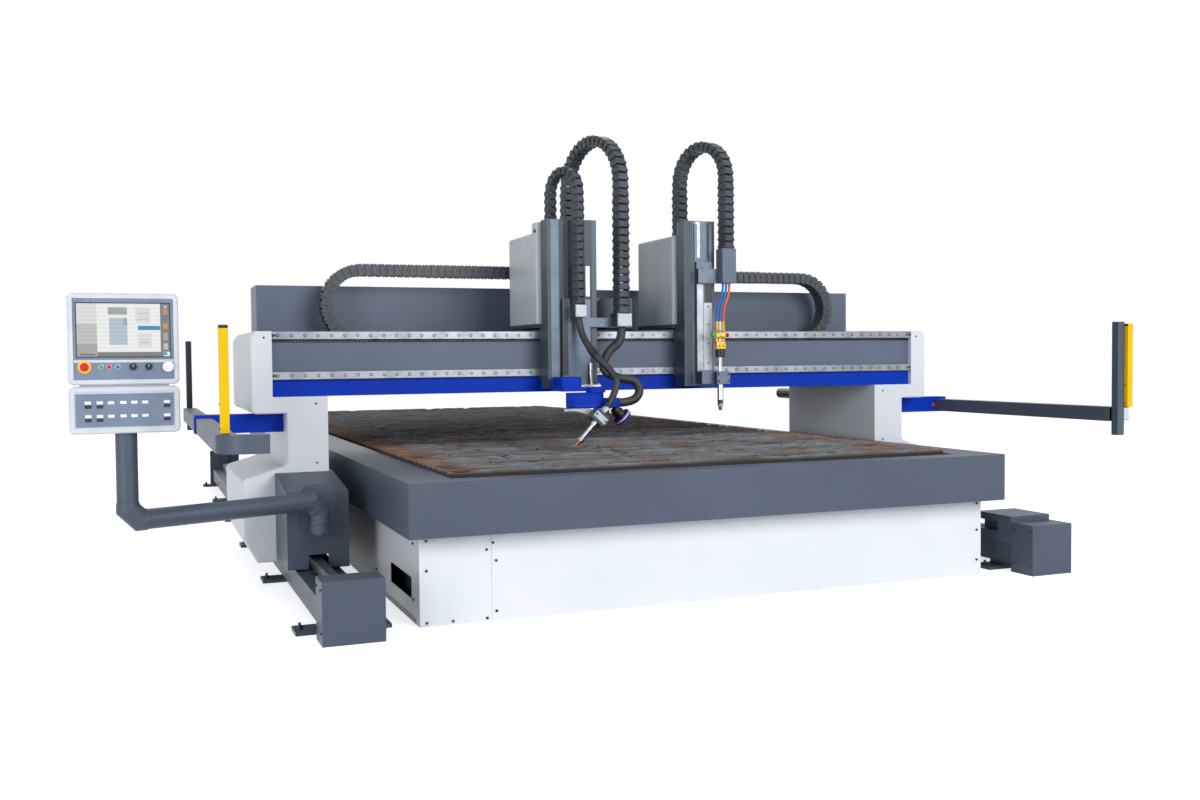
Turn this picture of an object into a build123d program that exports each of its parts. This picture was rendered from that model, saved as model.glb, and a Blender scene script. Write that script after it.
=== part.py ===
from build123d import *
import os
from math import atan2, cos, degrees, hypot, pi, radians, sin, tan

# Gantry cutting machine: a slatted table between two floor rails, a gantry with two tool stations that
# cross on its beam, and an operator console on a swinging arm. Millimetres. The origin is on the floor
# at the centre of the table, +X is to the right of the operator, +Y runs away along the rails, +Z is up.

# Cutting table
table_length = 8000
tray_width = 3700
tray_height = 280
rim_height = 750
tray_sheet = 8
tray_corner = 12
side_border = 260
end_border = 150
slat_pitch = 110
slat_thickness = 6
slat_height = 140
slat_rise = 33
slat_clearance = 0.5
slat_end_gap = 6
slat_end_chamfer = 12
comb_thickness = 12
comb_inset = 60
comb_rise = 50
bearer_width = 40
bearer_spacing = 780

# Base under the table
base_border = 80
base_inset = 130
ledge = 12
panel_sheet = 4
access_width = 380
panel_joint = 2
window_front = 310
window_length = 526
window_bottom = 114
window_height = 114
bed_beam_count = 4
bed_beam_edge_gap = 6
bed_beam_flange = 220
bed_beam_web = 16
bed_beam_end_gap = 250
duct_radius = 150
duct_length = 140
duct_wall = 3
duct_height = 250

# Floor rails
rail_offset = 288
rail_end_gap = 150
bed_width = 250
bed_height = 130
bed_wall = 10
anchor_plate_width = 480
anchor_plate_length = 160
anchor_plate_thickness = 20
anchor_spacing = 1480
anchor_hole_radius = 11
anchor_hole_spacing = 420
packing_height = 25
packing_width = 200
rail_width = 60
rail_height = 60
rail_crown = 4
end_box_width = 304
end_box_height = 311
end_box_length = 190
end_box_overhang = 85
end_box_sheet = 5
stop_housing_length = 315
stop_housing_height = 345
stop_slot_length = 195
stop_slot_height = 60
stop_slot_depth = 60
stop_slot_level = 240
rear_stop_height = 370
rear_stop_length = 60
buffer_radius = 40
buffer_length = 70

# Gantry beam
beam_setback = 1588
beam_overhang = 176
beam_depth = 420
beam_top = 1539
skirt_bottom = 1143
skirt_top = 1244
skirt_sheet = 4
skirt_return = 50
beam_wall = 10
guide_width = 45
guide_depth = 32
guide_waist = 6
guide_inset = 26

# Legs and end carriages
leg_lead = 40
leg_depth = 1200
leg_inset = 148
waist_offset = 98
shoulder_reach = 126
foot_reach = 190
shoulder_bottom = 1043
waist_bottom = 730
foot_top = 650
foot_taper_level = 300
foot_bottom = 150
toe_reach = 110
leg_corner = 32
leg_edge = 8
cover_sheet = 6
shoulder_drop = 40
leg_post_width = 150
leg_post_length = 300
leg_post_wall = 10
carriage_lead = 571
carriage_length = 2283
carriage_width = 344
carriage_nose = 620
carriage_deck = 686
carriage_sheet = 6
carriage_clearance = 10
notch_width = 110
notch_height = 80
wheel_radius = 80
wheel_width = 50
wheel_gap = 0.3
wheel_inset = 260
axle_radius = 20
axle_clearance = 0.3
motor_width = 110
motor_length = 260
motor_flange = 12

# Rear cabinet and chain trough
cabinet_setback = 812
cabinet_depth = 350
cabinet_top = 1865
cabinet_sheet = 6
cabinet_door_count = 3
cabinet_door_gap = 8
cabinet_door_rise = 6
cabinet_door_margin = 40
trough_sheet = 4
trough_wall = 40
trough_floor = 1450

# Light barriers
bracket_setback = 112
bracket_depth = 110
bracket_bottom = 925
bracket_top = 1038
bracket_end = 10
bracket_wall = 8
arm_spread = 562
arm_size = 90
arm_wall = 4
arm_level = 975
arm_front = -1608
arm_back = 1790
arm_bend = 110
arm_hook = 80
sleeve_clearance = 0.3
strip_width = 42
strip_depth = 46
strip_height = 512
strip_cap = 14
strip_setback = 92
right_strip_lead = 30
post_size = 54
post_bottom = 843
post_top = 1560
rear_post_size = 40
rear_post_bottom = 858
rear_post_top = 1509
relay_width = 78
relay_depth = 60
relay_height = 86
leg_buffer_radius = 42
leg_buffer_length = 240
leg_buffer_level = 1046
leg_buffer_inset = 60

# Console
console_pivot_lead = 87
socket_radius = 52
socket_bottom = 398
socket_top = 445
seat_gap = 0.3
spigot_radius = 28
spigot_length = 60
bracket_plate_width = 190
bracket_plate_height = 270
bracket_plate_thickness = 22
arm_tube_radius = 51
arm_tube_wall = 5
arm_axis_level = 580
arm_reach = 1079
arm_yaw = 23
arm_elbow_bend = 60
elbow_wall = 4
elbow_sleeve = 30
console_width = 500
console_base = 1017
lower_height = 226
lower_depth = 120
upper_height = 441
upper_depth = 96
console_gap = 10
console_front = 78
console_corner = 26
console_edge = 6
face_border = 24
face_recess = 5
screen_width = 427
screen_height = 266
screen_top_margin = 44
screen_proud = 2
strip_level = 110
estop_offset = -178
estop_radius = 20
estop_stem_radius = 11
estop_height = 26
estop_cap = 14
lamp_offsets = (-105, -68, -30)
lamp_radius = 9
lamp_height = 9
button_stem = 8
selector_offsets = (39, 110)
selector_radius = 13
selector_height = 20
selector_grip = 8
override_offset = 199
override_radius = 20
override_height = 24
button_clearance = 0.4
keypad_width = 440
keypad_height = 160
keypad_sheet = 3
key_width = 26
key_height = 12
key_rise = 3
key_columns = (-166, -114, -64, -9, 40, 90, 189)
key_rows = (37, -28)
key_drop = 19
dark_key_columns = (0, 1, 6)

# Tool stations: shared sizes
runner_length = 120
runner_height = 84
runner_clearance = 0.5
runner_back_gap = 8
station_plate = 20
station_gap = 14
column_bottom = 1166
column_depth = 117
column_wall = 8
lift_bar_width = 20
lift_bar_depth = 10
lift_bar_spacing = 110
lift_bar_clearance = 0.5
ram_thickness = 28
ram_gap = 2
saddle_bottom = 1560
saddle_sheet = 26
cover_back = 537
cover_wall = 4
cover_corner = 18
chain_pitch = 50
chain_gap = 0.5
shelf_sheet = 10
shelf_length = 120

# Bevel tool station
bevel_left = -613
bevel_right = -273
bevel_column_top = 2254
bevel_cover_left = -640
bevel_cover_right = -330
bevel_cover_top = 2250
bevel_cover_step = 66
bevel_cover_step_length = 92
hood_left = -262
hood_right = 40
hood_height = 172
hood_depth = 300
hood_bevel = 70
main_chain_fixed = -276
main_chain_setback = 372
main_chain_moving = -130
main_chain_lead = 75
main_chain_thickness = 70
main_chain_width = 90
main_chain_centre = 2505
main_chain_end = 1649
small_chain_fixed = -521
small_chain_setback = 46
small_chain_moving = -429
small_chain_lead = 80
small_chain_thickness = 50
small_chain_width = 66
small_chain_centre = 2434
small_chain_end = 1703

# Bevel lift, rotator and torch
ram_left = -520
ram_right = -330
ram_top = 1740
small_clamp_width = 80
small_clamp_height = 82
main_clamp_width = 104
main_clamp_height = 88
main_clamp_bar = 60
gear_foot_bottom = 1152
gear_foot_sheet = 24
gear_left = -600
gear_right = -461
gear_height = 66
gear_depth = 180
gear_corner = 14
turn_x = -386
turn_lead = 250
turn_flange_radius = 62
turn_gap = 0.3
swing_arm_left = 196
swing_arm_radius = 50
swing_arm_top = 1144
swing_arm_height = 98
swing_arm_edge = 8
tip_x = -570
tip_level = 815
torch_lean = 42.6
torch_offset = 110
torch_length = 324
torch_radius = 22
torch_body_length = 150
torch_neck_radius = 15
nozzle_radius = 7
nozzle_length = 44
torch_shoulder = 8
quadrant_inner = 217
quadrant_outer = 263
quadrant_sheet = 20
quadrant_low = -12
quadrant_high = 56
clamp_length = 76
clamp_width = 92
clamp_depth = 56
clamp_bore_clearance = 0.2
slider_gap = 0.3
gland_arm_reach = 156
gland_arm_size = 64
gland_drop = 72
gland_stub_radius = 20
gland_stub_length = 96
gland_radius = 58
gland_thickness = 30
torch_hose_radius = 22
main_hose_radius = 28
hose_bend_share = 0.45

# Oxy-fuel tool station
oxy_left = 364
oxy_right = 590
oxy_column_top = 2277
oxy_cover_left = 341
oxy_cover_right = 566
oxy_cover_top = 2190
oxy_chain_fixed = 510
oxy_chain_setback = 226
oxy_chain_moving = 640
oxy_chain_lead = 75
oxy_chain_thickness = 70
oxy_chain_width = 90
oxy_chain_centre = 2572
oxy_chain_end = 2086
oxy_ram_left = 440
oxy_ram_right = 560
oxy_ram_bottom = 1185
oxy_ram_top = 2000
oxy_torch_x = 576
oxy_torch_lead = 105
oxy_tip_level = 1002
oxy_tip_length = 60
oxy_tip_radius = 12
oxy_tube_radius = 20
oxy_collar_bottom = 1358
oxy_collar_top = 1412
oxy_collar_radius = 34
valve_width = 78
valve_depth = 60
valve_top = 1600
valve_knob_radius = 15
valve_knob_length = 30
chain_cover_width = 106
chain_cover_depth = 96
chain_cover_height = 230
holder_bottom = 1180
holder_height = 84
holder_width = 96
holder_shoulder = 16
hanger_height = 96
hose_count = 3
gas_hose_radius = 8
gas_hose_spacing = 24

# Cross energy chains
cross_chain_setback = 647
cross_chain_thickness = 85
cross_chain_width = 130
cross_chain_radius = 235
cross_chain_gap = 2
left_bend = -1652
right_bend = 1760
chain_anchor = 97
left_chain_end = -397
right_chain_end = 495

# Worked-out levels and places
tray_front = -table_length / 2
tray_back = table_length / 2
tray_bottom = rim_height - tray_height
tray_floor = tray_bottom + tray_sheet
pit_width = tray_width - 2 * side_border
pit_length = table_length - 2 * end_border
slat_top = rim_height + slat_rise
slat_bottom = slat_top - slat_height
slat_length = pit_width - 2 * slat_end_gap
slat_count = int((pit_length - slat_pitch) // slat_pitch)
comb_x = pit_width / 2 - comb_inset
base_front = tray_front + base_inset
base_back = tray_back - base_inset
base_width = tray_width - 2 * base_border
bed_beam_span = base_width - 2 * panel_sheet - 2 * bed_beam_edge_gap - bed_beam_flange
bed_beam_spacing = bed_beam_span / (bed_beam_count - 1)
rail_x = tray_width / 2 + rail_offset
beam_half = rail_x + beam_overhang
beam_length = 2 * beam_half
carriage_outer = rail_x + carriage_width / 2
leg_inner = rail_x - leg_inset
leg_waist = rail_x + waist_offset
leg_shoulder = beam_half + shoulder_reach
leg_foot = carriage_outer + foot_reach
foot_toe = carriage_outer + toe_reach
arm_offset = rail_x + arm_spread
bracket_outer = arm_offset + arm_size / 2 + bracket_end
rail_front = tray_front - end_box_overhang
rail_bed_front = rail_front + end_box_length
rail_bed_back = tray_back - rail_end_gap
bed_bottom = anchor_plate_thickness + packing_height
bed_top = bed_bottom + bed_height
rail_top = bed_top + rail_height
beam_front = tray_front + beam_setback
beam_back = beam_front + beam_depth
leg_front = beam_front - leg_lead
carriage_front = beam_front - carriage_lead
carriage_back = carriage_front + carriage_length
carriage_bottom = bed_top + carriage_clearance
cabinet_front = beam_front + cabinet_setback
cross_chain_y = beam_front + cross_chain_setback
station_back = beam_front - guide_depth - station_gap
column_back = station_back - station_plate
column_front = column_back - column_depth
saddle_top = saddle_bottom + saddle_sheet
post_x = (leg_inner + leg_waist) / 2
post_y = (beam_front + beam_back) / 2
ram_front = column_front - ram_gap - ram_thickness
lower_run = trough_floor + cross_chain_gap + cross_chain_thickness / 2
cross_centre = lower_run + cross_chain_radius

os.makedirs("parts", exist_ok=True)


def across(y):
    """Upright plane at depth y: local x is +X, local y is up, and a negative extrusion runs along +Y."""
    return Plane(origin=(0, y, 0), x_dir=(1, 0, 0), z_dir=(0, -1, 0))


def along(x):
    """Upright plane at width x: local x is +Y, local y is up, and an extrusion runs along +X."""
    return Plane(origin=(x, 0, 0), x_dir=(0, 1, 0), z_dir=(1, 0, 0))


def block(low, high, mode=Mode.ADD):
    """Box between two corners, in the part that is being built."""
    with Locations(Vector(*[(a + b) / 2 for a, b in zip(low, high)])):
        Box(*[b - a for a, b in zip(low, high)], mode=mode)


def save(builder, name):
    """Label a finished piece and write it to its own file."""
    builder.part.label = name
    export_step(builder.part, f"parts/{name}.step")


# Tray: a deep pan whose rim is a hollow section with a slot under its outer edge, and a flat border round
# the slats
with BuildPart() as tray:
    with BuildSketch(Plane.XY.offset(tray_bottom)):
        RectangleRounded(tray_width, table_length, tray_corner)
    extrude(amount=tray_height)
    with BuildSketch(Plane.XY.offset(tray_floor)):
        Rectangle(pit_width, pit_length)
    extrude(amount=tray_height, mode=Mode.SUBTRACT)
    with BuildSketch(Plane.XY.offset(tray_floor)):
        Rectangle(tray_width - 2 * tray_sheet, table_length - 2 * tray_sheet)
        Rectangle(pit_width + 2 * tray_sheet, pit_length + 2 * tray_sheet, mode=Mode.SUBTRACT)
    extrude(amount=tray_height - 2 * tray_sheet, mode=Mode.SUBTRACT)
    with BuildSketch(Plane.XY.offset(tray_bottom)):
        Rectangle(tray_width - 2 * tray_sheet, table_length - 2 * tray_sheet)
        Rectangle(base_width + 2 * ledge, base_back - base_front + 2 * ledge, mode=Mode.SUBTRACT)
    extrude(amount=tray_sheet, mode=Mode.SUBTRACT)
save(tray, "tray")

# Combs: a slotted bar at each side holds the slats upright, and plain bearers carry them between
with BuildPart() as slat_combs:
    comb_height = slat_bottom - tray_floor + comb_rise
    for x in (-comb_x, comb_x):
        with BuildSketch(Plane.XY.offset(tray_floor)):
            with Locations((x, 0)):
                Rectangle(comb_thickness, (slat_count + 1) * slat_pitch)
        extrude(amount=comb_height)
    with Locations((0, 0, slat_bottom)):
        with GridLocations(2 * comb_x, slat_pitch, 2, slat_count):
            Box(
                2 * comb_thickness,
                slat_thickness + 2 * slat_clearance,
                2 * comb_rise,
                align=(Align.CENTER, Align.CENTER, Align.MIN),
                mode=Mode.SUBTRACT,
            )
    with BuildSketch(Plane.XY.offset(tray_floor)):
        with GridLocations(bearer_spacing, 1, 3, 1):
            Rectangle(bearer_width, (slat_count + 1) * slat_pitch)
    extrude(amount=slat_bottom - tray_floor)
save(slat_combs, "slat_combs")

# Slats: loose flat bars on edge, each with its upper corners cut back
with BuildPart() as slat:
    with BuildSketch(Plane.XZ):
        with BuildLine():
            half = slat_length / 2
            Polyline(
                (-half, slat_bottom),
                (half, slat_bottom),
                (half, slat_top - slat_end_chamfer),
                (half - slat_end_chamfer, slat_top),
                (slat_end_chamfer - half, slat_top),
                (-half, slat_top - slat_end_chamfer),
                close=True,
            )
        make_face()
    extrude(amount=slat_thickness / 2, both=True)

with BuildPart() as slats:
    with GridLocations(1, slat_pitch, 1, slat_count):
        add(slat.part)
save(slats, "slats")

# Bearer beams: rolled sections along the table that carry the tray on the floor
with BuildPart() as bed_beams:
    with BuildSketch(across(base_front + bed_beam_end_gap)):
        with Locations((0, tray_bottom / 2)):
            with GridLocations(bed_beam_spacing, 1, bed_beam_count, 1):
                Rectangle(bed_beam_flange, tray_bottom)
                with GridLocations(bed_beam_flange, 1, 2, 1):
                    Rectangle(
                        bed_beam_flange - bed_beam_web,
                        tray_bottom - 2 * bed_beam_web,
                        mode=Mode.SUBTRACT,
                    )
    extrude(amount=-(base_back - base_front - 2 * bed_beam_end_gap))
save(bed_beams, "bed_beams")

# Panels round the base: a wide front panel
base_half = base_width / 2
with BuildPart() as front_panel:
    block(
        (access_width + panel_joint - base_half, base_front, 0),
        (base_half, base_front + panel_sheet, tray_bottom),
    )
save(front_panel, "front_panel")

# The other panels: a narrow access panel beside the front one, the sides, the left one with a low window
# near its front, and the rear panel with an extraction spigot
with BuildPart() as base_panels:
    block((-base_half, base_front, 0), (access_width - base_half, base_front + panel_sheet, tray_bottom))
    with BuildSketch(Plane.XY):
        with GridLocations(base_width - panel_sheet, 1, 2, 1):
            Rectangle(panel_sheet, base_back - base_front - 2 * panel_sheet)
    extrude(amount=tray_bottom)
    block(
        (-base_half - panel_sheet, tray_front + window_front, window_bottom),
        (
            2 * panel_sheet - base_half,
            tray_front + window_front + window_length,
            window_bottom + window_height,
        ),
        mode=Mode.SUBTRACT,
    )
    block((-base_half, base_back - panel_sheet, 0), (base_half, base_back, tray_bottom))
    with BuildSketch(across(base_back)):
        with Locations((0, duct_height)):
            Circle(duct_radius)
    extrude(amount=-duct_length)
    with BuildSketch(across(base_back - panel_sheet)):
        with Locations((0, duct_height)):
            Circle(duct_radius - duct_wall)
    extrude(amount=-duct_length - panel_sheet, mode=Mode.SUBTRACT)
save(base_panels, "base_panels")

# Rail beds: a box section on packings and anchor plates that are bolted to the floor
rail_bed_length = rail_bed_back - rail_bed_front
rail_bed_middle = (rail_bed_back + rail_bed_front) / 2
anchor_count = int((rail_bed_length - anchor_plate_length) // anchor_spacing) + 1
with BuildPart() as rail_beds:
    for side in (-1, 1):
        with BuildSketch(across(rail_bed_front)):
            with Locations((side * rail_x, bed_bottom + bed_height / 2)):
                Rectangle(bed_width, bed_height)
                Rectangle(bed_width - 2 * bed_wall, bed_height - 2 * bed_wall, mode=Mode.SUBTRACT)
        extrude(amount=-rail_bed_length)
        with Locations((side * rail_x, rail_bed_middle, 0)):
            with GridLocations(1, anchor_spacing, 1, anchor_count):
                Box(
                    anchor_plate_width,
                    anchor_plate_length,
                    anchor_plate_thickness,
                    align=(Align.CENTER, Align.CENTER, Align.MIN),
                )
                Box(
                    packing_width,
                    anchor_plate_length,
                    bed_bottom,
                    align=(Align.CENTER, Align.CENTER, Align.MIN),
                )
            with GridLocations(anchor_hole_spacing, anchor_spacing, 2, anchor_count):
                Cylinder(anchor_hole_radius, 3 * anchor_plate_thickness, mode=Mode.SUBTRACT)
save(rail_beds, "rail_beds")

# Running rails with a slightly relieved crown
with BuildPart() as running_rails:
    with BuildSketch(across(rail_bed_front)) as rail_section:
        with Locations((-rail_x, bed_top + rail_height / 2), (rail_x, bed_top + rail_height / 2)):
            Rectangle(rail_width, rail_height)
        crown = rail_section.vertices().group_by(Axis.Z)[-1]
        chamfer(crown, rail_crown)
    extrude(amount=-rail_bed_length)
save(running_rails, "running_rails")

# Front end boxes: folded covers over the rail ends. The right one has a taller stop housing behind it
with BuildPart() as rail_end_boxes:
    for side in (-1, 1):
        with BuildSketch(across(rail_front)):
            with Locations((side * rail_x, end_box_height / 2)):
                Rectangle(end_box_width, end_box_height)
        extrude(amount=-end_box_length)
    fillet(rail_end_boxes.edges().filter_by(Axis.Y).group_by(Axis.Z)[-1], end_box_sheet)
    for side in (-1, 1):
        with BuildSketch(across(rail_front + end_box_sheet)):
            with Locations((side * rail_x, (end_box_height - end_box_sheet) / 2)):
                Rectangle(end_box_width - 2 * end_box_sheet, end_box_height - end_box_sheet)
        extrude(amount=2 * end_box_sheet - end_box_length, mode=Mode.SUBTRACT)
    housing_left = rail_x - end_box_width / 2
    housing_base = rail_top + rail_crown
    block(
        (housing_left, rail_bed_front, bed_top),
        (rail_x + end_box_width / 2, rail_bed_front + stop_housing_length, stop_housing_height),
    )
    block(
        (rail_x - rail_width / 2 - 1, rail_bed_front - 1, bed_top - 1),
        (rail_x + rail_width / 2 + 1, rail_bed_front + stop_housing_length + 1, housing_base),
        mode=Mode.SUBTRACT,
    )
    block(
        (
            housing_left - 1,
            rail_bed_front + stop_housing_length - stop_slot_length,
            stop_slot_level,
        ),
        (
            housing_left + stop_slot_depth,
            rail_bed_front + stop_housing_length + 1,
            stop_slot_level + stop_slot_height,
        ),
        mode=Mode.SUBTRACT,
    )
save(rail_end_boxes, "rail_end_boxes")

# Rear end stops: an upright plate on each rail end with a round rubber-faced buffer
with BuildPart() as rear_end_stops:
    for side in (-1, 1):
        with BuildSketch(across(rail_bed_back)):
            with Locations((side * rail_x, rear_stop_height / 2)):
                RectangleRounded(end_box_width, rear_stop_height, tray_corner)
        extrude(amount=-rear_stop_length)
        with BuildSketch(across(rail_bed_back)):
            with Locations((side * rail_x, rear_stop_height - buffer_radius - 2 * tray_corner)):
                Circle(buffer_radius)
        extrude(amount=buffer_length)
save(rear_end_stops, "rear_end_stops")

# Gantry beam: a welded box section on two box posts. The skirt wraps its lower front edge
with BuildPart() as beam:
    with BuildSketch(along(-beam_half)):
        beam_floor = skirt_bottom + skirt_sheet
        with Locations(((beam_front + beam_back) / 2, (beam_floor + beam_top) / 2)):
            Rectangle(beam_depth, beam_top - beam_floor)
            Rectangle(beam_depth - 2 * beam_wall, beam_top - beam_floor - 2 * beam_wall, mode=Mode.SUBTRACT)
    extrude(amount=beam_length)
    with BuildSketch(Plane.XY.offset(carriage_deck)):
        with Locations((-post_x, post_y), (post_x, post_y)):
            Rectangle(leg_post_width, leg_post_length)
            Rectangle(
                leg_post_width - 2 * leg_post_wall,
                leg_post_length - 2 * leg_post_wall,
                mode=Mode.SUBTRACT,
            )
    extrude(amount=beam_floor - carriage_deck)
save(beam, "beam")

with BuildPart() as beam_skirt:
    with BuildSketch(along(-beam_half)):
        with BuildLine():
            Polyline(
                (beam_front, skirt_top),
                (beam_front - skirt_sheet, skirt_top),
                (beam_front - skirt_sheet, skirt_bottom),
                (beam_front + skirt_return, skirt_bottom),
                (beam_front + skirt_return, skirt_bottom + skirt_sheet),
                (beam_front, skirt_bottom + skirt_sheet),
                close=True,
            )
        make_face()
    extrude(amount=beam_length)
save(beam_skirt, "beam_skirt")

# Guide rails: profiled bars along the top and the lower edge of the beam's front face
upper_guide = beam_top - guide_inset
lower_guide = skirt_top + guide_inset
with BuildPart() as guide_rails:
    for level in (lower_guide, upper_guide):
        with BuildSketch(along(-beam_half)):
            with BuildLine():
                half = guide_width / 2
                neck = half - guide_waist
                Polyline(
                    (beam_front, level - half),
                    (beam_front, level + half),
                    (beam_front - guide_depth / 4, level + half),
                    (beam_front - guide_depth / 2, level + neck),
                    (beam_front - guide_depth * 3 / 4, level + half),
                    (beam_front - guide_depth, level + half),
                    (beam_front - guide_depth, level - half),
                    (beam_front - guide_depth * 3 / 4, level - half),
                    (beam_front - guide_depth / 2, level - neck),
                    (beam_front - guide_depth / 4, level - half),
                    close=True,
                )
            make_face()
        extrude(amount=beam_length)
save(guide_rails, "guide_rails")

# Leg covers: moulded shells with a broad shoulder beside the beam end, a narrow waist and a flared foot
# that hangs down over the outer side of the carriage
foot_inside = carriage_outer + seat_gap
leg_back = leg_front + leg_depth
with BuildPart() as leg_covers:
    with BuildSketch(across(leg_front)) as leg_outline:
        with BuildLine():
            Polyline(
                (leg_inner, carriage_deck),
                (leg_inner, skirt_bottom),
                (beam_half + seat_gap, skirt_bottom),
                (beam_half + seat_gap, beam_top),
                (leg_shoulder - leg_corner, beam_top),
                (leg_shoulder, beam_top - shoulder_drop),
                (leg_shoulder, shoulder_bottom),
                (leg_waist, shoulder_bottom),
                (leg_waist, waist_bottom),
                (leg_foot, foot_top),
                (leg_foot, foot_taper_level),
                (foot_toe, foot_bottom),
                (foot_inside, foot_bottom),
                (foot_inside, carriage_deck),
                close=True,
            )
        make_face()
        rounded = [(leg_shoulder, shoulder_bottom), (leg_waist, waist_bottom), (leg_foot, foot_top)]
        rounded += [(leg_foot, foot_taper_level), (leg_shoulder, beam_top - shoulder_drop)]
        for x, z in rounded:
            fillet(leg_outline.vertices().sort_by_distance((x, z, 0))[0], leg_corner)
    extrude(amount=-leg_depth)
    contour = leg_covers.faces().filter_by(Axis.Y).edges()
    past_waist = [e for e in contour if e.center().X > leg_waist - 1]
    outside = [e for e in past_waist if abs(e.center().X - foot_inside) > leg_edge]
    chamfer(outside, leg_edge)
    with BuildSketch(across(leg_front + cover_sheet)):
        offset(leg_outline.sketch, amount=-cover_sheet)
    extrude(amount=-(leg_depth - 2 * cover_sheet), mode=Mode.SUBTRACT)
    block(
        (leg_inner + cover_sheet, leg_front + cover_sheet, carriage_deck - 1),
        (foot_inside, leg_back - cover_sheet, carriage_deck + 2 * cover_sheet),
        mode=Mode.SUBTRACT,
    )
    with Locations((post_x, post_y, skirt_bottom)):
        Box(leg_post_width + 2, leg_post_length + 2, 4 * cover_sheet, mode=Mode.SUBTRACT)
    mirror(about=Plane.YZ)
save(leg_covers, "leg_covers")

# End carriages: long folded boxes, open below, that straddle the rails on two wheels each, with a
# drive unit hung under the deck. The left one has the socket of the console arm on its front
pivot_y = carriage_front - console_pivot_lead
wheel_level = rail_top + wheel_gap + wheel_radius
front_wheel_y = carriage_front + wheel_inset
rear_wheel_y = carriage_back - wheel_inset
carriage_nodes = (("left_carriage", -rail_x), ("right_carriage", rail_x))
for carriage_name, centre_x in carriage_nodes:
    with BuildPart() as carriage:
        with BuildSketch(along(centre_x - carriage_width / 2)):
            with BuildLine():
                Polyline(
                    (carriage_front, carriage_bottom),
                    (carriage_front, carriage_nose),
                    (leg_front, carriage_deck),
                    (leg_back, carriage_deck),
                    (carriage_back, carriage_nose),
                    (carriage_back, carriage_bottom),
                    close=True,
                )
            make_face()
        extrude(amount=carriage_width)
        underside = carriage.faces().sort_by(Axis.Z)[0]
        offset(amount=-carriage_sheet, openings=underside)
        block(
            (centre_x - notch_width / 2, carriage_front - 1, carriage_bottom - 1),
            (centre_x + notch_width / 2, carriage_back + 1, carriage_bottom + notch_height),
            mode=Mode.SUBTRACT,
        )
        with BuildSketch(along(centre_x - carriage_width / 2)):
            with Locations((front_wheel_y, wheel_level), (rear_wheel_y, wheel_level)):
                Circle(axle_radius + axle_clearance)
        extrude(amount=carriage_width, mode=Mode.SUBTRACT)
        motor_top = carriage_deck - carriage_sheet
        with BuildSketch(Plane.XY.offset(motor_top - motor_flange)):
            with Locations((centre_x, post_y)):
                Rectangle(motor_width + 2 * motor_flange, motor_width + 2 * motor_flange)
        extrude(amount=motor_flange)
        with BuildSketch(Plane.XY.offset(motor_top - motor_length)):
            with Locations((centre_x, post_y)):
                RectangleRounded(motor_width, motor_width, motor_flange)
        extrude(amount=motor_length)
        if centre_x < 0:
            with BuildSketch(across(carriage_front)):
                with Locations((centre_x, socket_bottom + bracket_plate_height / 2)):
                    RectangleRounded(bracket_plate_width, bracket_plate_height, socket_radius)
            extrude(amount=bracket_plate_thickness)
            with BuildSketch(Plane.XY.offset(socket_bottom)):
                with Locations((centre_x, pivot_y)):
                    Circle(socket_radius)
                with Locations((centre_x, (pivot_y + carriage_front) / 2)):
                    Rectangle(2 * socket_radius, console_pivot_lead)
            extrude(amount=socket_top - socket_bottom)
            with Locations((centre_x, pivot_y, socket_top)):
                Cylinder(spigot_radius + seat_gap, 2 * spigot_length, mode=Mode.SUBTRACT)
    save(carriage, carriage_name)

# Wheels: one axle line at the front of both carriages and one at the rear
for wheels_name, wheel_y in (("front_wheels", front_wheel_y), ("rear_wheels", rear_wheel_y)):
    with BuildPart() as wheels:
        for side in (-1, 1):
            with BuildSketch(along(side * rail_x)):
                with Locations((wheel_y, wheel_level)):
                    Circle(wheel_radius)
            extrude(amount=wheel_width / 2, both=True)
            with BuildSketch(along(side * rail_x)):
                with Locations((wheel_y, wheel_level)):
                    Circle(axle_radius)
            extrude(amount=carriage_width / 2 - 1, both=True)
    save(wheels, wheels_name)

# Electrical cabinet across the back of the gantry, with doors on its rear face. A trough between it and
# the beam carries the cross chains, with an anchor plate in the middle
cabinet_back = cabinet_front + cabinet_depth
with BuildPart() as back_cabinet:
    block((-beam_half, cabinet_front, skirt_bottom), (beam_half, cabinet_back, cabinet_top))
    block(
        (cabinet_sheet - beam_half, cabinet_front + cabinet_sheet, skirt_bottom - 1),
        (beam_half - cabinet_sheet, cabinet_back - cabinet_sheet, cabinet_top - cabinet_sheet),
        mode=Mode.SUBTRACT,
    )
    door_pitch = (beam_length - 2 * cabinet_door_margin) / cabinet_door_count
    with BuildSketch(across(cabinet_back)):
        with Locations((0, (skirt_bottom + cabinet_top) / 2)):
            with GridLocations(door_pitch, 1, cabinet_door_count, 1):
                Rectangle(
                    door_pitch - cabinet_door_gap,
                    cabinet_top - skirt_bottom - 2 * cabinet_door_margin,
                )
    extrude(amount=-cabinet_door_rise)
    block(
        (-beam_half, beam_back, trough_floor - trough_sheet),
        (beam_half, cabinet_front, trough_floor),
    )
    block(
        (-beam_half, beam_back, trough_floor - trough_wall),
        (beam_half, beam_back + trough_sheet, trough_floor),
    )
    block(
        (-beam_half, cabinet_front - trough_sheet, trough_floor - trough_wall),
        (beam_half, cabinet_front, trough_floor + trough_wall),
    )
    block(
        (-2 * chain_anchor, cross_chain_y - cross_chain_width / 2, trough_floor),
        (2 * chain_anchor, cross_chain_y + cross_chain_width / 2, trough_floor + cross_chain_gap),
    )
save(back_cabinet, "back_cabinet")

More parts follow.
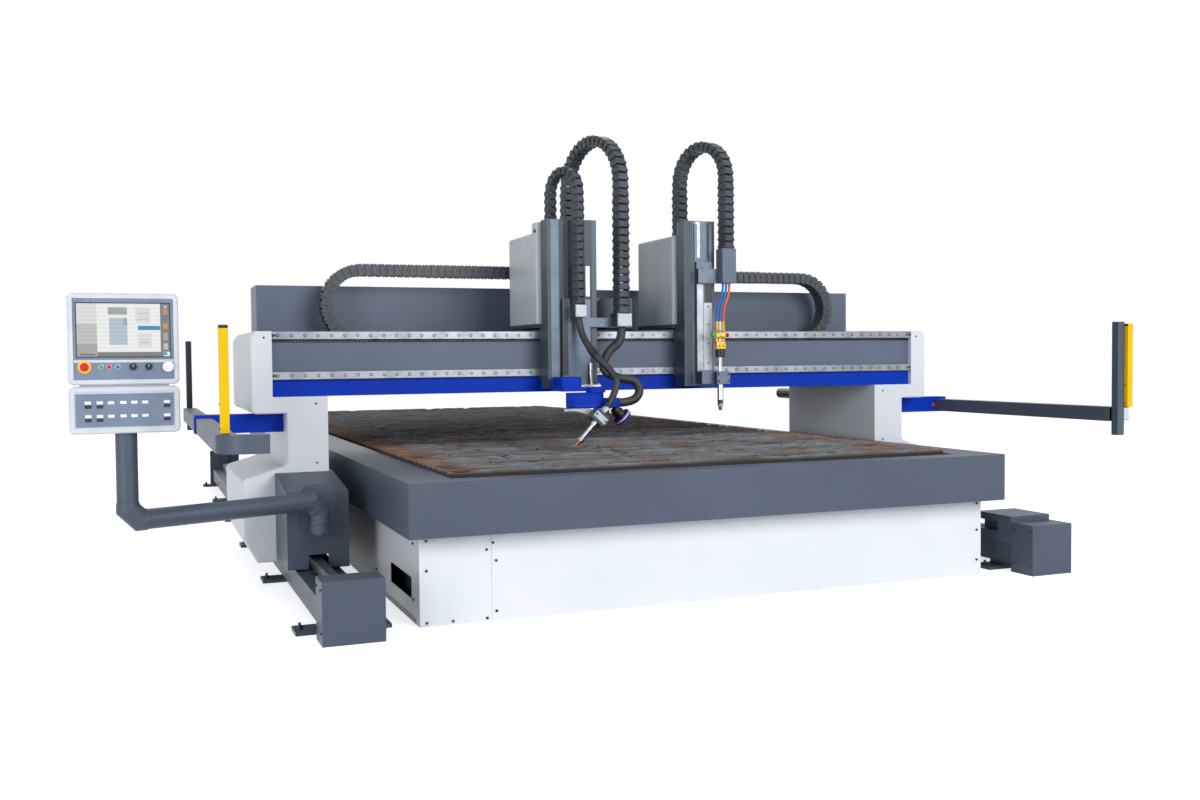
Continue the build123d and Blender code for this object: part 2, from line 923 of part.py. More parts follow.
# Light barriers: box brackets on the leg waists hold long square arms beside the machine
bracket_front = beam_front + bracket_setback
arm_bottom = arm_level - arm_size / 2
arm_start = beam_front + arm_front
arm_end = beam_front + arm_back
with BuildPart() as barrier_brackets:
    block(
        (leg_waist, bracket_front, bracket_bottom),
        (bracket_outer, bracket_front + bracket_depth, bracket_top),
    )
    fillet(barrier_brackets.edges().filter_by(Axis.Y), bracket_wall)
    block(
        (arm_offset - arm_size / 2 - sleeve_clearance, bracket_front - 1, arm_bottom),
        (
            arm_offset + arm_size / 2 + sleeve_clearance,
            bracket_front + bracket_depth + 1,
            arm_bottom + arm_size + sleeve_clearance,
        ),
        mode=Mode.SUBTRACT,
    )
    mirror(about=Plane.YZ)
save(barrier_brackets, "barrier_brackets")

# Arms: square tubes. The left one turns inwards in front, the right one carries a post and a relay box
with BuildPart() as barrier_arms:
    with BuildLine():
        back_end = (-arm_offset, arm_end, arm_level)
        bend_start = (-arm_offset, arm_start + arm_bend, arm_level)
        bend_end = (arm_bend - arm_offset, arm_start, arm_level)
        Line(back_end, bend_start)
        TangentArc(bend_start, bend_end, tangent=(0, -1, 0))
        Line(bend_end, (arm_bend + arm_hook - arm_offset, arm_start, arm_level))
    with BuildSketch(across(arm_end)):
        with Locations((-arm_offset, arm_level)):
            Rectangle(arm_size, arm_size)
            Rectangle(arm_size - 2 * arm_wall, arm_size - 2 * arm_wall, mode=Mode.SUBTRACT)
    sweep()
    with BuildSketch(across(arm_end)):
        with Locations((arm_offset, arm_level)):
            Rectangle(arm_size, arm_size)
            Rectangle(arm_size - 2 * arm_wall, arm_size - 2 * arm_wall, mode=Mode.SUBTRACT)
    extrude(amount=arm_end - arm_start)
    with BuildSketch(Plane.XY.offset(post_bottom)):
        with Locations((arm_offset, arm_start - post_size / 2)):
            RectangleRounded(post_size, post_size, 4)
    extrude(amount=post_top - post_bottom)
    relay_left = arm_offset + arm_size / 2
    block(
        (relay_left, arm_start, arm_level - relay_height / 2),
        (relay_left + relay_width, arm_start + relay_depth, arm_level + relay_height / 2),
    )
save(barrier_arms, "barrier_arms")

# Front barriers: a slim strip on the left arm, and one beside the post of the right arm
strip_y = arm_start + strip_setback
arm_top = arm_level + arm_size / 2
with BuildPart() as front_barriers:
    with BuildSketch(Plane.XY.offset(arm_top)):
        with Locations((-arm_offset, strip_y)):
            RectangleRounded(strip_width, strip_depth, 4)
    extrude(amount=strip_height)
    with BuildSketch(Plane.XY.offset(arm_top)):
        right_x = arm_offset + (post_size + strip_width) / 2
        with Locations((right_x, arm_start - post_size / 2 - right_strip_lead)):
            RectangleRounded(strip_width, strip_depth, 4)
    extrude(amount=strip_height + strip_cap)
save(front_barriers, "front_barriers")

# Rear posts on the ends of the arms, and the buffers at the back of the legs
with BuildPart() as rear_guards:
    with BuildSketch(Plane.XY.offset(rear_post_bottom)):
        with GridLocations(2 * arm_offset, 1, 2, 1):
            with Locations((0, arm_end + rear_post_size / 2)):
                RectangleRounded(rear_post_size, rear_post_size, 4)
    extrude(amount=rear_post_top - rear_post_bottom)
    buffer_x = leg_inner + leg_buffer_inset
    with BuildSketch(across(leg_back)):
        with Locations((-buffer_x, leg_buffer_level), (buffer_x, leg_buffer_level)):
            Circle(leg_buffer_radius)
    extrude(amount=-leg_buffer_length)
save(rear_guards, "rear_guards")

# Console arm: a tube that rises from the socket, runs out to the left and turns up into a post. At both
# corners it is mitred inside a wider elbow fitting
yaw = radians(arm_yaw)
arm_plane = Plane(
    origin=(-rail_x, pivot_y, 0),
    x_dir=(-cos(yaw), -sin(yaw), 0),
    z_dir=(-sin(yaw), cos(yaw), 0),
)
head_x = -rail_x - arm_reach * cos(yaw)
head_y = pivot_y - arm_reach * sin(yaw)
arm_foot = socket_top + seat_gap
post_top_level = console_base - seat_gap
low_mitre = arm_axis_level - arm_elbow_bend
high_mitre = arm_axis_level + arm_elbow_bend
inner_elbow = [(0, low_mitre), (arm_elbow_bend, arm_axis_level)]
outer_elbow = [(arm_reach, high_mitre), (arm_reach - arm_elbow_bend, arm_axis_level)]
inner_sleeve_end = (arm_elbow_bend + elbow_sleeve, arm_axis_level)
outer_sleeve_end = (arm_reach - arm_elbow_bend - elbow_sleeve, arm_axis_level)
tube_route = [(0, arm_foot), *inner_elbow, *reversed(outer_elbow), (arm_reach, post_top_level)]
inner_route = [(0, low_mitre - elbow_sleeve), *inner_elbow, inner_sleeve_end]
outer_route = [(arm_reach, high_mitre + elbow_sleeve), *outer_elbow, outer_sleeve_end]
tube_bore = arm_tube_radius - arm_tube_wall
elbow_radius = arm_tube_radius + elbow_wall
with BuildPart() as console_arm:
    for route, x, y, outside in (
        (tube_route, -rail_x, pivot_y, arm_tube_radius),
        (inner_route, -rail_x, pivot_y, elbow_radius),
        (outer_route, head_x, head_y, elbow_radius),
    ):
        with BuildLine(arm_plane):
            Polyline(*route)
        with BuildSketch(Plane.XY.offset(route[0][1])):
            with Locations((x, y)):
                Circle(outside)
                Circle(tube_bore, mode=Mode.SUBTRACT)
        sweep(transition=Transition.RIGHT)
    with BuildSketch(Plane.XY.offset(arm_foot)):
        with Locations((-rail_x, pivot_y)):
            Circle(arm_tube_radius)
    extrude(amount=arm_tube_wall)
    with BuildSketch(Plane.XY.offset(arm_foot)):
        with Locations((-rail_x, pivot_y)):
            Circle(spigot_radius)
    extrude(amount=-spigot_length)
save(console_arm, "console_arm")

# Console head: two housings with recessed faces, on a stub that turns in the top of the post
head_front = head_y - console_front
upper_base = console_base + lower_height + console_gap
with BuildPart() as console_lower:
    with BuildSketch(across(head_front)):
        with Locations((head_x, console_base + lower_height / 2)):
            RectangleRounded(console_width, lower_height, console_corner)
    extrude(amount=-lower_depth)
    chamfer(console_lower.faces().sort_by(Axis.Y)[0].edges(), console_edge)
    with BuildSketch(across(head_front)):
        with Locations((head_x, console_base + lower_height / 2)):
            Rectangle(console_width - 2 * face_border, lower_height - 2 * face_border)
    extrude(amount=-face_recess, mode=Mode.SUBTRACT)
    with BuildSketch(across(head_front + lower_depth)):
        with Locations((head_x, console_base + lower_height / 2)):
            Rectangle(console_width - 2 * face_border, lower_height - 2 * face_border)
    extrude(amount=lower_depth - 3 * face_recess, mode=Mode.SUBTRACT)
    with BuildSketch(Plane.XY.offset(console_base)):
        with Locations((head_x, head_y)):
            Circle(arm_tube_radius - arm_tube_wall - 1)
    extrude(amount=-spigot_length)
save(console_lower, "console_lower")

upper_y = head_front + console_edge
upper_centre = upper_base + upper_height / 2
control_level = upper_base + strip_level - face_border
face_y = upper_y + face_recess
with BuildPart() as console_upper:
    with BuildSketch(across(upper_y)):
        with Locations((head_x, upper_centre)):
            RectangleRounded(console_width, upper_height, console_corner)
    extrude(amount=-upper_depth)
    chamfer(console_upper.faces().sort_by(Axis.Y)[0].edges(), console_edge)
    with BuildSketch(across(upper_y)):
        with Locations((head_x, upper_centre)):
            Rectangle(console_width - 2 * face_border, upper_height - 2 * face_border)
    extrude(amount=-face_recess, mode=Mode.SUBTRACT)
    with BuildSketch(across(upper_y + upper_depth)):
        with Locations((head_x, upper_centre)):
            Rectangle(console_width - 2 * face_border, upper_height - 2 * face_border)
    extrude(amount=upper_depth - 3 * face_recess, mode=Mode.SUBTRACT)
    with BuildSketch(across(upper_y)):
        with Locations((head_x + estop_offset, control_level)):
            Circle(estop_stem_radius + button_clearance)
        with Locations([(head_x + lamp, control_level) for lamp in lamp_offsets]):
            Circle(lamp_radius + button_clearance)
        with Locations([(head_x + turn, control_level) for turn in (*selector_offsets, override_offset)]):
            Circle(button_stem + button_clearance)
    extrude(amount=-upper_depth, mode=Mode.SUBTRACT)
    with BuildSketch(Plane.XY.offset(upper_base)):
        with Locations((head_x, upper_y + upper_depth / 2)):
            Rectangle(console_width - 4 * face_border, upper_depth / 2)
    extrude(amount=-console_gap)
save(console_upper, "console_upper")

with BuildPart() as console_screen:
    screen_level = upper_base + upper_height - screen_top_margin - screen_height / 2
    with BuildSketch(across(face_y)):
        with Locations((head_x, screen_level)):
            Rectangle(screen_width, screen_height)
    extrude(amount=face_recess - screen_proud)
save(console_screen, "console_screen")

# Keypad: a membrane on the lower face with two rows of raised keys
lower_face_y = head_front + face_recess
with BuildPart() as keypad:
    keypad_level = console_base + lower_height / 2
    with BuildSketch(across(lower_face_y)):
        with Locations((head_x, keypad_level)):
            Rectangle(keypad_width, keypad_height)
    extrude(amount=keypad_sheet)
    with BuildSketch(across(lower_face_y - keypad_sheet)):
        for row in key_rows:
            with Locations([(head_x + column, keypad_level + row) for column in key_columns]):
                Rectangle(key_width, key_height)
            dark_row = keypad_level + row - key_drop
            with Locations([(head_x + key_columns[i], dark_row) for i in dark_key_columns]):
                Rectangle(key_width, key_height)
    extrude(amount=key_rise)
save(keypad, "keypad")

# Operator controls: emergency stop, three lamp buttons, two selectors and a speed knob
bore_depth = 3 * face_recess
with BuildPart() as estop_button:
    with BuildSketch(across(face_y + bore_depth)):
        with Locations((head_x + estop_offset, control_level)):
            Circle(estop_stem_radius)
    extrude(amount=bore_depth + estop_height)
    with BuildSketch(across(face_y - estop_height + estop_cap)):
        with Locations((head_x + estop_offset, control_level)):
            Circle(estop_radius)
    extrude(amount=estop_cap)
    fillet(estop_button.faces().sort_by(Axis.Y)[0].edges(), estop_cap / 3)
save(estop_button, "estop_button")

for lamp_name, lamp in zip(("green_button", "red_button", "blue_button"), lamp_offsets):
    with BuildPart() as lamp_button:
        with BuildSketch(across(face_y + bore_depth)):
            with Locations((head_x + lamp, control_level)):
                Circle(lamp_radius)
        extrude(amount=bore_depth + lamp_height)
    save(lamp_button, lamp_name)

for selector_name, turn in zip(("left_selector", "right_selector"), selector_offsets):
    with BuildPart() as selector:
        with BuildSketch(across(face_y + bore_depth)):
            with Locations((head_x + turn, control_level)):
                Circle(button_stem)
        extrude(amount=bore_depth + seat_gap)
        with BuildSketch(across(face_y - seat_gap)):
            with Locations((head_x + turn, control_level)):
                Circle(selector_radius)
        extrude(amount=selector_height / 2)
        with BuildSketch(across(face_y - seat_gap - selector_height / 2)):
            with Locations((head_x + turn, control_level)):
                SlotOverall(2 * selector_radius - 2, selector_grip, rotation=90)
        extrude(amount=selector_height / 2)
    save(selector, selector_name)

with BuildPart() as speed_knob:
    with BuildSketch(across(face_y + bore_depth)):
        with Locations((head_x + override_offset, control_level)):
            Circle(button_stem)
    extrude(amount=bore_depth + seat_gap)
    with BuildSketch(across(face_y - seat_gap)):
        with Locations((head_x + override_offset, control_level)):
            Circle(override_radius)
    extrude(amount=override_height, taper=4)
    with BuildSketch(across(face_y - seat_gap - override_height)):
        with Locations((head_x + override_offset, control_level + override_radius / 2)):
            Rectangle(selector_grip / 3, override_radius / 2)
    extrude(amount=override_height / 8, mode=Mode.SUBTRACT)
save(speed_knob, "speed_knob")


def station_carriage(left, right, saddle_left, saddle_right):
    """Plate across the front of the beam with a runner round each guide rail and a saddle over the top."""
    block((left, column_back, column_bottom), (right, station_back, saddle_top))
    block((saddle_left, station_back, saddle_bottom), (saddle_right, beam_front + cover_back, saddle_top))
    runner_back = beam_front - runner_back_gap
    half = guide_width / 2 + runner_clearance
    for level in (lower_guide, upper_guide):
        for x in (left + runner_length / 2, right - runner_length / 2):
            block(
                (x - runner_length / 2, station_back, level - runner_height / 2),
                (x + runner_length / 2, runner_back, level + runner_height / 2),
            )
        block(
            (left - 1, beam_front - guide_depth - runner_clearance, level - half),
            (right + 1, runner_back + 1, level + half),
            mode=Mode.SUBTRACT,
        )


def station_column(left, right, top, ram_centre):
    """Hollow column on the station plate, open below, with two bars for the ram."""
    block((left, column_front, column_bottom), (right, column_back, top))
    block(
        (left + column_wall, column_front + column_wall, column_bottom - 1),
        (right - column_wall, column_back - column_wall, top - column_wall),
        mode=Mode.SUBTRACT,
    )
    for x in (ram_centre - lift_bar_spacing / 2, ram_centre + lift_bar_spacing / 2):
        block(
            (x - lift_bar_width / 2, column_front - lift_bar_depth, column_bottom + column_wall),
            (x + lift_bar_width / 2, column_front, top - 3 * column_wall),
        )


def station_ram(left, right, bottom, top):
    """Lift plate in front of the column, grooved at the back for the column's bars."""
    block((left, ram_front, bottom), (right, ram_front + ram_thickness, top))
    for x in ((left + right - lift_bar_spacing) / 2, (left + right + lift_bar_spacing) / 2):
        half = lift_bar_width / 2 + lift_bar_clearance
        block(
            (x - half, column_front - lift_bar_depth - lift_bar_clearance, bottom - 1),
            (x + half, column_front, top + 1),
            mode=Mode.SUBTRACT,
        )


def station_cover(cover, left, right, top, step, chain_end):
    """Folded cover on the saddle, with a step down if it has one and a shelf for the cross chain's end."""
    back = beam_front + cover_back
    profile = [(station_back, saddle_top), (station_back, top)]
    if step:
        step_at = station_back + bevel_cover_step_length
        profile += [(step_at, top), (step_at, top - step)]
    profile += [(back, top - step), (back, saddle_top)]
    with BuildSketch(along(left)) as outline:
        with BuildLine():
            Polyline(*profile, close=True)
        make_face()
    extrude(outline.sketch, amount=right - left)
    fillet([e for e in cover.edges() if e.center().Z > saddle_top + 1], cover_corner)
    open_side = cover.faces().sort_by(Axis.Z)[0]
    offset(amount=-cover_wall, openings=open_side)
    shelf_top = cross_centre + cross_chain_radius - cross_chain_thickness / 2
    block(
        (chain_end - shelf_length / 2, back, shelf_top - shelf_sheet),
        (chain_end + shelf_length / 2, cross_chain_y + cross_chain_width / 2, shelf_top),
    )


def chain_links(plane, radius, moving_run, fixed_run, thickness, width):
    """Chain links between pins laid along a U. Local +Y of the plane points at the bend, and the moving run
    lies at +radius."""
    bend = pi * radius
    total = moving_run + bend + fixed_run
    count = round(total / chain_pitch)
    pitch = total / count
    taper = thickness / 2 * tan(pitch / (2 * radius)) + chain_gap
    pins = []
    for i in range(count + 1):
        s = i * pitch - moving_run
        turn = min(max(s, 0), bend) / radius
        past = min(s, 0) - max(s - bend, 0)
        pins.append(Vector(radius * cos(turn), radius * sin(turn) + past))
    with BuildSketch(plane) as outline:
        for near, far in zip(pins, pins[1:]):
            middle = (near + far) / 2
            span = far - near
            half = (span.length - chain_gap) / 2
            heading = degrees(atan2(span.Y, span.X))
            with Locations(Location((middle.X, middle.Y, 0), (0, 0, heading))):
                Polygon(
                    (taper - half, -thickness / 2),
                    (half - taper, -thickness / 2),
                    (half, 0),
                    (half - taper, thickness / 2),
                    (taper - half, thickness / 2),
                    (-half, 0),
                    align=None,
                )
    extrude(outline.sketch, amount=width / 2, both=True)


def lift_chain(fixed, moving, centre, end, seat, thickness, width):
    """Upright chain that stands on its seat behind a column, turns over it and comes down to the lift."""
    span = (moving[0] - fixed[0], moving[1] - fixed[1])
    length = hypot(*span)
    x_dir = (span[0] / length, span[1] / length, 0)
    plane = Plane(
        origin=((fixed[0] + moving[0]) / 2, (fixed[1] + moving[1]) / 2, centre),
        x_dir=x_dir,
        z_dir=(x_dir[1], -x_dir[0], 0),
    )
    chain_links(plane, length / 2, centre - end, centre - seat + chain_gap / 2, thickness, width)


def hose(name, points, radius):
    """Round hose along straight runs joined by the largest arcs that the runs allow."""
    route_points = [Vector(*p) for p in points]
    runs = [b - a for a, b in zip(route_points, route_points[1:])]
    bends = []
    for before, after in zip(runs, runs[1:]):
        half_turn = radians(before.get_angle(after)) / 2
        bends.append(hose_bend_share * min(before.length, after.length) / tan(half_turn))
    with BuildLine() as route:
        FilletPolyline(*route_points, radius=bends)
    with BuildSketch(Plane(origin=route.line @ 0, z_dir=route.line % 0)) as section:
        Circle(radius)
    sweep(section.sketch, path=route.line)
    route_length = sum(edge.length for edge in route.edges())
    print(name, "length", round(route_length), "bend radii", [round(bend) for bend in bends])


# Bevel station: carriage, column and covers
with BuildPart() as bevel_carriage:
    station_carriage(bevel_left, bevel_right, bevel_cover_left, hood_right)
save(bevel_carriage, "bevel_carriage")

with BuildPart() as bevel_column:
    station_column(bevel_left, bevel_right, bevel_column_top, (ram_left + ram_right) / 2)
save(bevel_column, "bevel_column")

with BuildPart() as bevel_cover:
    station_cover(
        bevel_cover,
        bevel_cover_left,
        bevel_cover_right,
        bevel_cover_top,
        bevel_cover_step,
        left_chain_end,
    )
save(bevel_cover, "bevel_cover")

with BuildPart() as drive_hood:
    hood_top = saddle_top + hood_height
    with BuildSketch(across(station_back)):
        with BuildLine():
            Polyline(
                (hood_left, saddle_top),
                (hood_right, saddle_top),
                (hood_right, hood_top),
                (hood_left + hood_bevel, hood_top),
                (hood_left, hood_top - hood_bevel),
                close=True,
            )
        make_face()
    extrude(amount=-hood_depth)
    hood_floor = drive_hood.faces().sort_by(Axis.Z)[0]
    offset(amount=-cover_wall, openings=hood_floor)
save(drive_hood, "drive_hood")

# Bevel lift: the ram, with a clamp for each chain end
small_end = (small_chain_moving, column_front - small_chain_lead)
main_end = (main_chain_moving, column_front - main_chain_lead)
gear_foot_top = gear_foot_bottom + gear_foot_sheet
with BuildPart() as bevel_ram:
    station_ram(ram_left, ram_right, gear_foot_top, ram_top)
    block(
        (
            small_end[0] - small_clamp_width / 2,
            small_end[1] - small_clamp_width / 2,
            small_chain_end - small_clamp_height,
        ),
        (small_end[0] + small_clamp_width / 2, ram_front, small_chain_end + chain_gap / 2),
    )
    block(
        (
            main_end[0] - main_clamp_width / 2,
            main_end[1] - main_clamp_width / 2,
            main_chain_end - main_clamp_height,
        ),
        (
            main_end[0] + main_clamp_width / 2,
            ram_front + ram_thickness / 2,
            main_chain_end + chain_gap / 2,
        ),
    )
    block(
        (ram_right, ram_front, main_chain_end - main_clamp_height),
        (main_end[0], ram_front + ram_thickness / 2, main_chain_end - main_clamp_height + main_clamp_bar),
    )
save(bevel_ram, "bevel_ram")

# Bevel gearbox: a foot plate reaching forward from the ram, with the gear housing and turning flange
turn_y = column_front - turn_lead
foot_back = column_front - lift_bar_depth - ram_gap
with BuildPart() as bevel_gearbox:
    with BuildSketch(Plane.XY.offset(gear_foot_bottom)):
        with Locations((turn_x, turn_y)):
            Circle(turn_flange_radius)
        with BuildLine():
            Polyline(
                (gear_left, turn_y),
                (turn_x + turn_flange_radius, turn_y),
                (ram_right, foot_back),
                (gear_left, foot_back),
                close=True,
            )
        make_face()
    extrude(amount=gear_foot_sheet)
    with BuildSketch(Plane.XY.offset(gear_foot_top)):
        with Locations(((gear_left + gear_right) / 2, ram_front - gear_depth / 2)):
            RectangleRounded(gear_right - gear_left, gear_depth, gear_corner)
    extrude(amount=gear_height)
    chamfer(bevel_gearbox.faces().sort_by(Axis.Z)[-1].edges(), gear_corner / 2)
    with BuildSketch(Plane.XY.offset(swing_arm_top + turn_gap)):
        with Locations((turn_x, turn_y)):
            Circle(turn_flange_radius)
    extrude(amount=gear_foot_bottom - swing_arm_top - turn_gap)
save(bevel_gearbox, "bevel_gearbox")

# Rotator: a swinging arm under the flange with a hose gland. Below it, a quadrant centred on the torch tip
torch_y = turn_y - torch_offset
arm_face = turn_y - swing_arm_radius
swing_arm_bottom = swing_arm_top - swing_arm_height
with BuildPart() as bevel_rotator:
    with BuildSketch(Plane.XY.offset(swing_arm_bottom)):
        with Locations((turn_x, turn_y)):
            Circle(swing_arm_radius)
        with Locations((turn_x - swing_arm_left / 2, turn_y)):
            Rectangle(swing_arm_left, 2 * swing_arm_radius)
    extrude(amount=swing_arm_height)
    chamfer(bevel_rotator.faces().sort_by(Axis.Z)[0].edges(), swing_arm_edge)
    gland_level = swing_arm_top - gland_drop
    gland_face = Vector(turn_x + gland_arm_reach, turn_y, gland_level)
    block(
        (turn_x, turn_y - gland_arm_size / 2, gland_level - gland_arm_size / 2),
        (gland_face.X, turn_y + gland_arm_size / 2, gland_level + gland_arm_size / 2),
    )
    gland_corner = Vector(gland_face.X - gland_arm_size / 2, turn_y, gland_level - gland_arm_size / 2)
    gland_plane = Plane(origin=gland_corner, z_dir=(1, 0, -1))
    with BuildSketch(gland_plane):
        Circle(gland_stub_radius)
    extrude(amount=gland_stub_length)
    with BuildSketch(gland_plane.offset(gland_stub_length - gland_thickness)):
        Circle(gland_radius)
    extrude(amount=gland_thickness)
save(bevel_rotator, "bevel_rotator")

with BuildPart() as tilt_quadrant:
    with BuildSketch(across(arm_face)):
        with BuildLine():
            low = radians(90 - quadrant_high)
            high = radians(90 - quadrant_low)
            mid = (low + high) / 2
            corners = [
                [(tip_x + r * cos(a), tip_level + r * sin(a)) for a in (low, mid, high)]
                for r in (quadrant_inner, quadrant_outer)
            ]
            ThreePointArc(*corners[0])
            ThreePointArc(*corners[1])
            Line(corners[0][0], corners[1][0])
            Line(corners[0][2], corners[1][2])
        make_face()
        with Locations((tip_x, swing_arm_bottom + quadrant_outer / 2)):
            Rectangle(2 * quadrant_outer, quadrant_outer, mode=Mode.SUBTRACT)
    extrude(amount=-quadrant_sheet)
save(tilt_quadrant, "tilt_quadrant")

# Torch clamp: a split block that runs on the quadrant and grips the torch
lean = radians(torch_lean)
torch_tip = (tip_x, torch_y, tip_level)
torch_plane = Plane(origin=torch_tip, x_dir=(cos(lean), 0, -sin(lean)), z_dir=(sin(lean), 0, cos(lean)))
clamp_mid = (quadrant_inner + quadrant_outer) / 2
with BuildPart() as torch_clamp:
    clamp_back = torch_offset - swing_arm_radius - slider_gap
    with BuildSketch(torch_plane.offset(clamp_mid - clamp_length / 2)):
        with Locations((0, (clamp_back - clamp_depth / 2) / 2)):
            Rectangle(clamp_width, clamp_back + clamp_depth / 2)
        Circle(torch_radius + clamp_bore_clearance, mode=Mode.SUBTRACT)
    extrude(amount=clamp_length)
save(torch_clamp, "torch_clamp")

# Plasma torch: a stepped cylinder that hangs in the clamp by a shoulder and ends in a nozzle
with BuildPart() as plasma_torch:
    shoulder_at = clamp_mid + clamp_length / 2
    with BuildSketch(torch_plane):
        Circle(nozzle_radius)
    extrude(amount=nozzle_length, taper=-8)
    with BuildSketch(torch_plane.offset(nozzle_length)):
        Circle(torch_neck_radius)
    extrude(amount=torch_length - nozzle_length - torch_body_length)
    with BuildSketch(torch_plane.offset(torch_length - torch_body_length)):
        Circle(torch_radius)
    extrude(amount=torch_body_length)
    with BuildSketch(torch_plane.offset(shoulder_at)):
        Circle(torch_radius + torch_shoulder)
    extrude(amount=torch_shoulder)
save(plasma_torch, "plasma_torch")

# Lift chains of the bevel station
with BuildPart() as main_lift_chain:
    lift_chain(
        (main_chain_fixed, station_back + main_chain_setback),
        main_end,
        main_chain_centre,
        main_chain_end,
        saddle_top,
        main_chain_thickness,
        main_chain_width,
    )
save(main_lift_chain, "main_lift_chain")

with BuildPart() as small_lift_chain:
    lift_chain(
        (small_chain_fixed, station_back + small_chain_setback),
        small_end,
        small_chain_centre,
        small_chain_end,
        bevel_cover_top,
        small_chain_thickness,
        small_chain_width,
    )
save(small_lift_chain, "small_lift_chain")

# Hoses of the bevel torch: one to the torch, and a thick one in a loose loop to the gland on the rotator
torch_rear = torch_plane.origin + torch_plane.z_dir * torch_length
with BuildPart() as torch_hoses:
    hose_top = Vector(*small_end, small_chain_end - small_clamp_height)
    hose(
        "torch hose",
        [
            hose_top,
            hose_top + Vector(0, 0, -110),
            hose_top + Vector(60, -90, -250),
            torch_rear + torch_plane.z_dir * 200,
            torch_rear,
        ],
        torch_hose_radius,
    )
    loop_top = Vector(*main_end, main_chain_end - main_clamp_height)
    hose_port = gland_face + Vector(0, 0, gland_arm_size / 2 - main_hose_radius)
    hose(
        "main hose",
        [
            loop_top,
            loop_top + Vector(0, 0, -95),
            loop_top + Vector(-105, -28, -150),
            loop_top + Vector(-180, -70, -275),
            loop_top + Vector(-70, -115, -335),
            hose_port + Vector(141, 45, 143),
            hose_port + Vector(166, 25, 63),
            hose_port + Vector(96, 0, 0),
            hose_port,
        ],
        main_hose_radius,
    )
save(torch_hoses, "torch_hoses")

# Oxy-fuel station
oxy_ram_centre = (oxy_ram_left + oxy_ram_right) / 2
with BuildPart() as oxy_carriage:
    station_carriage(oxy_left, oxy_right, oxy_cover_left, oxy_right)
save(oxy_carriage, "oxy_carriage")

with BuildPart() as oxy_column:
    station_column(oxy_left, oxy_right, oxy_column_top, oxy_ram_centre)
save(oxy_column, "oxy_column")

with BuildPart() as oxy_cover:
    station_cover(oxy_cover, oxy_cover_left, oxy_cover_right, oxy_cover_top, 0, right_chain_end)
save(oxy_cover, "oxy_cover")

oxy_end = (oxy_chain_moving, column_front - oxy_chain_lead)
oxy_torch_y = column_front - oxy_torch_lead
chain_cover_bottom = oxy_chain_end - chain_cover_height
with BuildPart() as oxy_ram:
    station_ram(oxy_ram_left, oxy_ram_right, oxy_ram_bottom, oxy_ram_top)
    block(
        (oxy_ram_left, ram_front - ram_thickness, chain_cover_bottom),
        (oxy_end[0] - chain_cover_width / 2, ram_front, chain_cover_bottom + hanger_height),
    )
    block(
        (oxy_torch_x - holder_width / 2, oxy_torch_y - holder_width / 2, holder_bottom),
        (oxy_torch_x + holder_width / 2, oxy_torch_y + holder_width / 2, holder_bottom + holder_height),
    )
    block(
        (oxy_ram_left, oxy_torch_y, holder_bottom),
        (oxy_torch_x + holder_width / 2, ram_front + ram_thickness / 2, holder_bottom + holder_height),
    )
    with Locations((oxy_torch_x, oxy_torch_y, holder_bottom)):
        Cylinder(oxy_tube_radius + clamp_bore_clearance, 4 * holder_height, mode=Mode.SUBTRACT)
save(oxy_ram, "oxy_ram")

with BuildPart() as oxy_chain_cover:
    block(
        (oxy_end[0] - chain_cover_width / 2, oxy_end[1] - chain_cover_depth / 2, chain_cover_bottom),
        (
            oxy_end[0] + chain_cover_width / 2,
            oxy_end[1] + chain_cover_depth / 2,
            oxy_chain_end + chain_gap / 2,
        ),
    )
    fillet(oxy_chain_cover.edges().filter_by(Axis.Z), gear_corner / 2)
save(oxy_chain_cover, "oxy_chain_cover")

# Cutting torch: a long tube under a valve block, hung in the holder by a shoulder
with BuildPart() as oxy_torch:
    with BuildSketch(Plane.XY.offset(oxy_tip_level)):
        with Locations((oxy_torch_x, oxy_torch_y)):
            Circle(oxy_tip_radius)
    extrude(amount=oxy_tip_length, taper=-6)
    with BuildSketch(Plane.XY.offset(oxy_tip_level + oxy_tip_length)):
        with Locations((oxy_torch_x, oxy_torch_y)):
            Circle(oxy_tube_radius)
    extrude(amount=oxy_collar_bottom - oxy_tip_level - oxy_tip_length)
    with BuildSketch(Plane.XY.offset(holder_bottom + holder_height)):
        with Locations((oxy_torch_x, oxy_torch_y)):
            Circle(oxy_collar_radius)
    extrude(amount=holder_shoulder)
    with BuildSketch(Plane.XY.offset(oxy_collar_bottom)):
        with Locations((oxy_torch_x, oxy_torch_y)):
            Circle(oxy_collar_radius)
    extrude(amount=oxy_collar_top - oxy_collar_bottom)
save(oxy_torch, "oxy_torch")

with BuildPart() as valve_block:
    with BuildSketch(Plane.XY.offset(oxy_collar_top)):
        with Locations((oxy_torch_x, oxy_torch_y)):
            RectangleRounded(valve_width, valve_depth, gear_corner / 2)
    extrude(amount=valve_top - oxy_collar_top)
    valve_level = (valve_top + oxy_collar_top) / 2
    with BuildSketch(along(oxy_torch_x - valve_width / 2)):
        with Locations((oxy_torch_y, valve_level)):
            Circle(valve_knob_radius / 2)
    extrude(amount=-valve_knob_length)
save(valve_block, "valve_block")

valve_right = oxy_torch_x + valve_width / 2
with BuildPart() as valve_knob:
    with BuildSketch(along(valve_right)):
        with Locations((oxy_torch_y, valve_level)):
            Circle(valve_knob_radius / 2)
    extrude(amount=valve_knob_length)
    with BuildSketch(along(valve_right + valve_knob_length / 3)):
        with Locations((oxy_torch_y, valve_level)):
            RegularPolygon(valve_knob_radius, 8)
    extrude(amount=valve_knob_length * 2 / 3)
save(valve_knob, "valve_knob")

